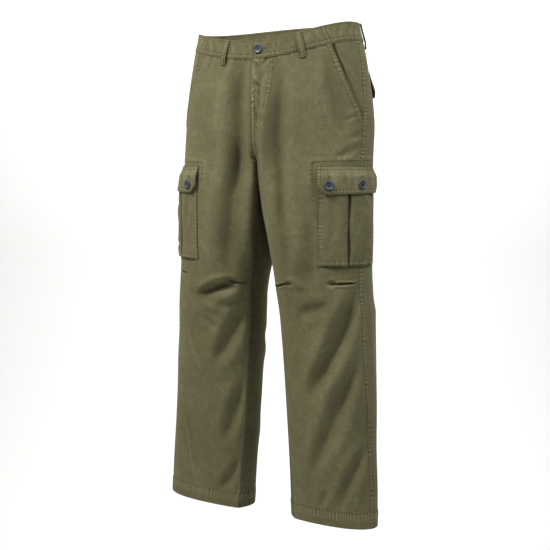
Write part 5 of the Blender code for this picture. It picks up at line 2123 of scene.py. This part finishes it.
@dataclass
class CargoPocket:
    """Patch pocket with a box pleat, and the buttoned flap over its mouth."""

    room: Workroom
    side: Side
    wall: float = 0.0010
    pleat: float = 0.025
    tuck: float = 0.018
    slit: float = 0.0006
    opening: float = 0.0014
    layer_gap: float = 0.0005
    turn: float = 1.3
    sharpest_turn: float = 0.6
    rise: tuple[float, float] = (0.010, 0.026)
    fall: tuple[float, float] = (0.022, 0.009)
    puff: dict[Side, float] = field(
        default_factory=lambda: {Side.RIGHT: 0.0012, Side.LEFT: 0.0042})
    row_count: int = 92
    refine: int = 4
    flap_wall: float = 0.0018
    flap_clip: float = 0.015
    flap_rise: float = 2.2
    over_pocket: float = 0.0086
    back_lift: dict[Side, float] = field(
        default_factory=lambda: {Side.RIGHT: 0.0006, Side.LEFT: 0.0034})
    front_button_in: float = 0.024
    back_button_in: dict[Side, float] = field(
        default_factory=lambda: {Side.RIGHT: 0.024, Side.LEFT: 0.055})
    button_up: float = 0.0165
    # The pleat's hidden layers are drawn darker: partly cloth that faded less under the tuck,
    # partly painted shade inside the pleat.
    unfaded: float = 2.2
    crease_fade: float = 0.015
    threads: Threads = field(init=False)
    dark: Threads = field(init=False)

    # Corners of the outline at the slit's two lips, and how many corners there are.
    BACK_LIP, FRONT_LIP, CORNERS = 6, 22, 28

    def __post_init__(self) -> None:
        """Start the pocket's threads."""
        self.threads = Threads(f"topstitch_cargo_{self.side.word}")
        self.dark = Threads(f"buttonholes_cargo_{self.side.word}")

    @property
    def surface(self) -> LegSurface:
        """This leg's surface."""
        return self.room.surfaces[self.side]

    def outline(self, share: Array) -> Array:
        """Middle line of the pocket's cloth from its back edge to its front, a row a height.

        The cloth comes in along the top layer, folds back under itself at the slit, turns again
        at the end of the tuck and crosses behind the slit on the lowest layer, then the reverse.

        Args:
            share: how far down the pocket each row lies.

        Returns:
            Rows of distances and lifts.
        """
        low, middle, high = (
            LAP + self.wall * (0.5 + n) + self.layer_gap * n for n in range(3))
        puff = self.puff[self.side] * np.maximum(np.sin(np.pi * share), 0.0) ** 0.7
        slit = self.slit + self.opening * np.sin(2 * np.pi * share) ** 2
        turn = self.turn * self.wall

        def tucked(way: float) -> list[tuple[Array | float, Array | float]]:
            """Down one side of the pleat: round the slit's lip, then round the tuck's end.

            Args:
                way: 1 towards the front, -1 towards the back.

            Returns:
                Corners of the line.
            """
            edge, end = self.pleat + way * slit, self.pleat + way * self.tuck
            inside = (end + edge) / 2
            return [
                (edge + way * turn, high), (edge, (middle + high) / 2), (edge + way * turn, middle),
                (inside, middle), (end - way * turn, middle), (end, (low + middle) / 2),
                (end - way * turn, low), (inside, low)]

        back_end, front_end = self.pleat - self.tuck, self.pleat + self.tuck
        corners = [
            (POCKET_BACK, low), (POCKET_BACK + self.rise[0], low + 0.5 * puff),
            (POCKET_BACK + self.rise[1], high + puff), (back_end - self.rise[0], high + 0.9 * puff),
            (back_end, high + 0.6 * puff), ((back_end + self.pleat - slit) / 2, high + 0.3 * puff),
            *tucked(-1.0), (self.pleat, low), *tucked(1.0)[::-1],
            ((front_end + self.pleat + slit) / 2, high + 0.2 * puff),
            (front_end, high + 0.3 * puff), (POCKET_FRONT - self.fall[0], high + 0.2 * puff),
            (POCKET_FRONT - self.fall[1], low + 0.2 * puff), (POCKET_FRONT, low)]
        ones = np.ones_like(slit)
        rows = [np.concatenate([a * ones, b * ones], axis=1) for a, b in corners]
        return np.stack(rows, axis=1)

    def refined(self, line: Array) -> Array:
        """The line with points added between its own and its corners eased.

        Args:
            line: rows of distances and lifts.

        Returns:
            The finer rows.
        """
        count = line.shape[1]
        fine = np.linspace(0, count - 1, (count - 1) * self.refine + 1)
        left = np.minimum(fine.astype(int), count - 2)
        part = (fine - left)[None, :, None]
        line = line[:, left] * (1 - part) + line[:, left + 1] * part
        for _ in range(2):
            line[:, 1:-1] = line[:, 1:-1] / 2 + (line[:, :-2] + line[:, 2:]) / 4
        return line

    def offset(self, line: Array, amount: float) -> Array:
        """Move each row's line sideways by amount, square to it at every point.

        Args:
            line: rows of distances and lifts.
            amount: how far.

        Returns:
            The moved rows.
        """
        before = np.diff(line, axis=1)
        before /= np.linalg.norm(before, axis=-1, keepdims=True)
        first = np.concatenate([before[:, :1], before], axis=1)
        last = np.concatenate([before, before[:, -1:]], axis=1)
        total = first + last
        length = np.linalg.norm(total, axis=-1, keepdims=True)
        square = np.stack([-total[..., 1], total[..., 0]], axis=-1) / length
        return line + square * amount / np.maximum(length / 2, self.sharpest_turn)

    def pocket_seams(self) -> list[Seam]:
        """Rows round the pocket and beside its pleat, with their puckers."""
        shift = POCKET_SHIFT[self.side]
        front, back = POCKET_FRONT + shift, POCKET_BACK + shift
        lip = self.pleat + self.slit + shift
        return [
            *(Seam(np.array([(edge, POCKET_TOP), (edge, POCKET_BOTTOM)]),
                   rows=(way * 0.0018, way * 0.0080),
                   band=tuple(sorted((way * 0.0005, way * 0.0095))), rise=0.0002,
                   pucker=0.00036, pitch=0.0076, worn=0.42, seed=seed)
              for edge, way, seed in ((front, -1.0, 71.0), (back, 1.0, 72.0))),
            Seam(np.array([(back, POCKET_BOTTOM), (front, POCKET_BOTTOM)]), rows=(0.0018, 0.0085),
                 band=(0.0005, 0.0100), rise=0.0002, pucker=0.00042, pitch=0.0090, worn=0.55,
                 seed=73.0),
            Seam(np.array([(lip, POCKET_TOP), (lip, POCKET_BOTTOM + 0.010)]), rows=(0.0030,),
                 band=(0.0, 0.004), pucker=0.00015, pitch=0.0072, worn=0.45, seed=74.0),
        ]

    def creases(self, distance: Array, height: Array) -> Array:
        """Soft slack creases of the pocket's cloth, as heights to add.

        Args:
            distance: distances forward of the side seam.
            height: heights.

        Returns:
            Heights, below 0 where the cloth goes in.
        """
        shift = POCKET_SHIFT[self.side]
        total = np.zeros(distance.shape)
        for row in (
                (16, -325, 4, -425, -4, 6, 3.4), (6, -330, -22, -385, 3, 5, 2.6),
                (-12, -385, 6, -480, -3, 6, 3.4), (-24, -335, -34, -400, 2, 5, 2.6),
                (-34, -468, -2, -446, 0, 4.5, 2), (62, -330, 50, -425, -2, 6, 2.8),
                (56, -400, 64, -470, 2, 5.5, 1.6)):
            total = total - Fold.in_mm(*row).trough(distance - shift, height)
        return total

    def pocket(self) -> None:
        """The pocket: both faces of the cloth run along its folded line."""
        shift = POCKET_SHIFT[self.side]
        share = np.linspace(0.0, 1.0, self.row_count)[:, None]
        height = POCKET_TOP + (POCKET_BOTTOM - POCKET_TOP) * share
        line = self.refined(self.outline(share))
        columns = np.arange(line.shape[1])
        last_back, first_front = self.BACK_LIP * self.refine, self.FRONT_LIP * self.refine
        on_top = ((columns <= last_back) | (columns >= first_front))[None, :]
        ease = smooth_step(np.minimum(
            np.abs(columns - last_back), np.abs(columns - first_front)) / self.refine)[None, :]
        place = line[..., 0] + shift
        level = height * np.ones_like(place)
        face = Face(self.surface, flush, self.pocket_seams())
        relief = face.relief(place, level)
        marks = [getattr(relief, mark) * on_top for mark in ("raised", *MARKS)]
        # Darker inner layers of the pleat: less faded cloth together with painted shade.
        marks[3] = marks[3] - self.unfaded * ~on_top
        loose = 1.0
        for inward in (POCKET_FRONT + shift - place, place - POCKET_BACK - shift,
                       level - POCKET_BOTTOM):
            loose = loose * smooth_step(inward / self.crease_fade)
        extra = (marks[0] + self.creases(place, level) * loose) * on_top * ease
        faces = []
        for direction in (1.0, -1.0):
            moved = self.offset(line, direction * self.wall / 2)
            across = self.surface.across(moved[..., 0] + shift, height)
            faces.append(self.surface.points(across, level, moved[..., 1] + extra)[0])
        run = np.cumsum(np.linalg.norm(np.diff(line, axis=1, prepend=line[:, :1]), axis=-1), axis=1)
        wall = Wall(
            faces[0], faces[1], np.stack([run, level], axis=-1), Relief(*marks),
            self.side is Side.RIGHT)
        name = f"cargo_pocket_{self.side.word}"
        self.room.add_cloth(f"patch_{name}", wall, self.room.twill, name, Slot.TWILL)
        top = self.outline(share)

        def lift(d: Array, z: Array) -> Array:
            """Lift of the top layer at each place.

            Args:
                d: distances.
                z: heights.

            Returns:
                Lifts.
            """
            rows = np.clip((POCKET_TOP - z) / (POCKET_TOP - POCKET_BOTTOM), 0.0, 1.0)
            row = np.round(rows * (self.row_count - 1)).astype(int)
            outer = [*range(self.BACK_LIP + 1), *range(self.FRONT_LIP + 1, self.CORNERS)]
            flat_d, flat_row = np.atleast_1d(d).ravel() - shift, np.atleast_1d(row).ravel()
            found = np.array([
                np.interp(a, top[b, outer, 0], top[b, outer, 1])
                for a, b in zip(flat_d, flat_row)])
            return found.reshape(np.shape(d)) + self.wall / 2

        face.lift = lift
        self.threads.sew(face)

    def flap_lift(self, down: Array, back_share: Array) -> Array:
        """Lift of the flap: sewn flat at its top, risen over the pocket's mouth below.

        Args:
            down: 0 at the flap's top to 1 at its foot.
            back_share: 0 at its front end to 1 at its back end.

        Returns:
            Lifts.
        """
        lifted = self.back_lift[self.side] * smooth_step(2.0 * back_share - 0.6)
        sewn = LAP + self.flap_wall
        return sewn + (self.over_pocket + lifted - sewn) * smooth_step(down * self.flap_rise)

    def flap(self) -> None:
        """The flap, its buttons and buttonholes."""
        shift = POCKET_SHIFT[self.side]
        flap = Flap(
            self.surface, POCKET_BACK - FLAP_MARGIN + shift, POCKET_FRONT + FLAP_MARGIN + shift,
            FLAP_TOP, FLAP_BOTTOM, self.flap_clip, self.flap_wall, self.flap_lift)
        face, wall = flap.cut()
        name = f"cargo_flap_{self.side.word}"
        self.room.add_cloth(f"buttoned_{name}", wall, self.room.trim, name, Slot.TRIM)
        self.threads.sew(face)
        level = FLAP_BOTTOM + self.button_up
        for word, spot in (("front", flap.end - self.front_button_in),
                           ("back", flap.start + self.back_button_in[self.side])):
            Button(f"button_cargo_{self.side.word}_{word}",
                   f"cargo_button_{self.side.word}_{word}").build(self.room, face, spot, level)
            self.dark.buttonhole(face, (spot, level + HOLE_ABOVE), (0.0, 1.0), HOLE_LENGTH)

    def build(self) -> None:
        """Make the pocket, its flap and their stitching."""
        self.pocket()
        self.flap()
        self.threads.build(self.room, self.room.thread)
        self.dark.build(self.room, self.room.dark_thread)


@dataclass
class Flap:
    """Pocket flap with cut lower corners, stitched round its free edges."""

    surface: LegSurface
    start: float
    end: float
    top: float
    bottom: float
    clip: float
    wall: float
    lift: Lift
    corner_columns: int = 13
    middle_columns: int = 90
    rows: int = 46

    def seams(self) -> list[Seam]:
        """Rows along the sewn top, both ends, the cut corners and the foot."""
        up = self.bottom + self.clip
        edge = np.array([
            (self.start, self.top), (self.start, up), (self.start + self.clip, self.bottom),
            (self.end - self.clip, self.bottom), (self.end, up), (self.end, self.top)])
        head = np.array([(self.start, self.top), (self.end, self.top)])
        return [
            Seam(edge, rows=(0.0018, 0.0078), band=(0.0004, 0.0092), rise=0.0002,
                 pucker=0.00026, pitch=0.0062, worn=0.4, seed=81.0 + 9 * self.start),
            Seam(head, rows=(-0.0018, -0.0080), band=(-0.0095, -0.0005), rise=0.0002,
                 pucker=0.00028, pitch=0.0058, worn=0.3, seed=83.0),
            Seam(np.array([(self.start + 0.02, (self.top + self.bottom) / 2),
                           (self.end - 0.02, (self.top + self.bottom) / 2)]),
                 band=(-0.012, 0.012), pucker=0.0003, pitch=0.031, seed=84.0),
        ]

    def cut(self) -> tuple[Face, Wall]:
        """The flap's face and wall.

        Returns:
            Both.
        """
        near = np.linspace(0.0, self.clip, self.corner_columns + 1)[:-1]
        distance = np.concatenate([
            self.start + near,
            np.linspace(self.start + self.clip, self.end - self.clip, self.middle_columns),
            self.end - near[::-1]])[None, :]
        inward = np.minimum(distance - self.start, self.end - distance)
        foot = self.bottom + np.maximum(self.clip - inward, 0.0)
        down = np.linspace(0.0, 1.0, self.rows)[:, None]
        height = self.top + (foot - self.top) * down
        places = distance + 0.0 * height

        def lift(d: Array, z: Array) -> Array:
            """Lift by how far down and how far back each place lies."""
            share = np.clip((self.end - d) / (self.end - self.start), 0.0, 1.0)
            return self.lift(np.clip((self.top - z) / (self.top - self.bottom), 0.0, 1.0), share)

        face = Face(self.surface, lift, self.seams(), centred=False)
        return face, cut(face, places, height, self.wall)


@dataclass
class BackPocket:
    """Buttoned flap over a back pocket."""

    room: Workroom
    side: Side
    start: float = -0.190
    end: float = -0.058
    top: float = -0.096
    bottom: float = -0.146
    clip: float = 0.015
    wall: float = 0.0018
    stand: float = 0.0020
    curl: float = 0.0045
    rise: float = 1.2
    button_up: float = 0.021

    def lift(self, down: Array, back_share: Array) -> Array:
        """Sewn flat at its top, off the seat at its foot and curled out at its front corner."""
        corner = smooth_step(1.0 - 4.0 * back_share) * down ** 1.5
        return LAP + self.wall + self.stand * smooth_step(down * self.rise) + self.curl * corner

    def build(self) -> None:
        """Make the flap, its button, buttonhole and stitching."""
        surface = self.room.surfaces[self.side]
        flap = Flap(
            surface, self.start, self.end, self.top, self.bottom, self.clip, self.wall, self.lift)
        face, wall = flap.cut()
        word = self.side.word
        self.room.add_cloth(
            f"buttoned_back_flap_{word}", wall, self.room.trim, f"back_flap_{word}", Slot.TRIM)
        threads = Threads(f"topstitch_back_pocket_{word}")
        threads.sew(face)
        middle = (self.start + self.end) / 2
        level = self.bottom + self.button_up
        Button(f"button_back_{word}", f"back_button_{word}").build(self.room, face, middle, level)
        threads.build(self.room, self.room.thread)
        dark = Threads(f"buttonhole_back_pocket_{word}")
        dark.buttonhole(face, (middle, level + HOLE_ABOVE), (0.0, 1.0), HOLE_LENGTH)
        dark.build(self.room, self.room.dark_thread)


# --- Studio ---


def add_looking(name: str, data: bpy.types.ID, place: Vector, toward: Vector) -> bpy.types.Object:
    """Put a lamp or camera in the scene.

    Args:
        name: its name.
        data: its light or lens.
        place: where it stands.
        toward: the direction it looks in.

    Returns:
        The lamp or camera.
    """
    item = bpy.data.objects.new(name, data)
    turn = toward.to_track_quat("-Z", "Y").to_matrix().to_4x4()
    item.matrix_world = Matrix.Translation(place) @ turn
    bpy.context.scene.collection.objects.link(item)
    return item


@dataclass(frozen=True)
class Lamp:
    """Soft square light that looks at a point."""

    name: str
    place: tuple[float, float, float]
    aim: tuple[float, float, float]
    size: float
    power: float
    colour: str = "#ffffff"

    def build(self) -> None:
        """Add the light."""
        light = bpy.data.lights.new(self.name, "AREA")
        light.size = self.size
        light.energy = self.power
        light.color = linear(self.colour)[:3]
        place = Vector(self.place)
        add_looking(self.name, light, place, Vector(self.aim) - place)


@dataclass
class Studio:
    """Pale floor that sweeps up behind, soft lights and the camera."""

    azimuth: float = 28.0
    tilt: float = 7.09
    far: float = 1.85
    eye_level: float = -0.2876
    shift: tuple[float, float] = (-0.0033, -0.0018)
    lens: float = 56.3
    floor: float = -2.40
    sky: float = 0.12
    sweep_start: float = 2.0
    sweep_radius: float = 1.6
    sweep_front: float = -6.0
    sweep_height: float = 6.5
    sweep_half: float = 9.0
    lamps: tuple[Lamp, ...] = (
        Lamp("key", (-1.09, -1.70, 1.82), (0.0, 0.0, -0.22), 0.66, 88.5, "#fffdf8"),
        Lamp("fill", (1.62, -0.50, 1.42), (0.0, 0.0, -0.25), 0.9, 39.0, "#f8f9ff"),
        Lamp("sweep", (-0.45, 1.4, 2.2), (-1.75, 3.3, -0.9), 3.2, 149.0),
    )

    def backdrop(self) -> None:
        """Floor and wall joined by a quarter circle, carried along x."""
        run = np.linspace(0.0, np.pi / 2, 24)
        start, radius = self.sweep_start, self.sweep_radius
        deep = np.concatenate(
            [[self.sweep_front], start + radius * np.sin(run), [start + radius]])
        rise = np.concatenate([[0.0], radius * (1.0 - np.cos(run)), [self.sweep_height]])
        wide = self.sweep_half * np.array([-1.0, 1.0])[None, :] + 0.0 * deep[:, None]
        points = np.stack(
            [wide, deep[:, None] + 0.0 * wide, self.floor + rise[:, None] + 0.0 * wide], axis=-1)
        turn = np.radians(self.azimuth)
        spin = np.array([[np.cos(turn), np.sin(turn), 0], [-np.sin(turn), np.cos(turn), 0],
                         [0, 0, 1]])
        quads = grid_quads(np.arange(2 * len(deep)).reshape(-1, 2))
        mesh = face_mesh("sweep_floor", points.reshape(-1, 3) @ spin, quads)
        mesh.materials.append(StudioFinish().material())
        sweep = bpy.data.objects.new("sweep_floor", mesh)
        bpy.context.scene.collection.objects.link(sweep)

    def camera(self) -> None:
        """Camera at the viewing angle."""
        turn, tilt = np.radians([self.azimuth, self.tilt])
        ahead = Vector((-np.sin(turn) * np.cos(tilt), np.cos(turn) * np.cos(tilt), -np.sin(tilt)))
        data = bpy.data.cameras.new("camera")
        data.lens = self.lens
        data.sensor_width = 36.0
        data.dof.use_dof = False
        place = Vector((
            self.far * np.sin(turn) + self.shift[0], -self.far * np.cos(turn) + self.shift[1],
            self.eye_level))
        bpy.context.scene.camera = add_looking("camera", data, place, ahead)

    def build(self) -> None:
        """Set up the studio."""
        scene = bpy.context.scene
        world = bpy.data.worlds.new("studio")
        world.use_nodes = True
        background = world.node_tree.nodes["Background"]
        background.inputs["Color"].default_value = linear("#ffffff")
        background.inputs["Strength"].default_value = self.sky
        scene.world = world
        scene.view_settings.view_transform = "Standard"
        self.backdrop()
        for lamp in self.lamps:
            lamp.build()
        self.camera()


def main() -> None:
    """Make the pants and the studio."""
    logging.basicConfig(level=logging.INFO, format="%(message)s")
    room = Workroom(
        {side: LegSurface(side) for side in Side},
        TwillFinish("washed_olive_twill").material(),
        TwillFinish("washed_olive_trim", grain_turn=0.5).material(),
        ThreadFinish("olive_thread", "#5b563d", "#3f3b29").material(),
        ThreadFinish("dark_thread", "#2d2b20", "#1c1b14").material(),
        HornFinish("slate_button").material())
    Waist(room).build()
    for side in Side:
        Leg(room, side).build()
        CargoPocket(room, side).build()
        BackPocket(room, side).build()
    Studio().build()


if __name__ == "__main__":
    main()
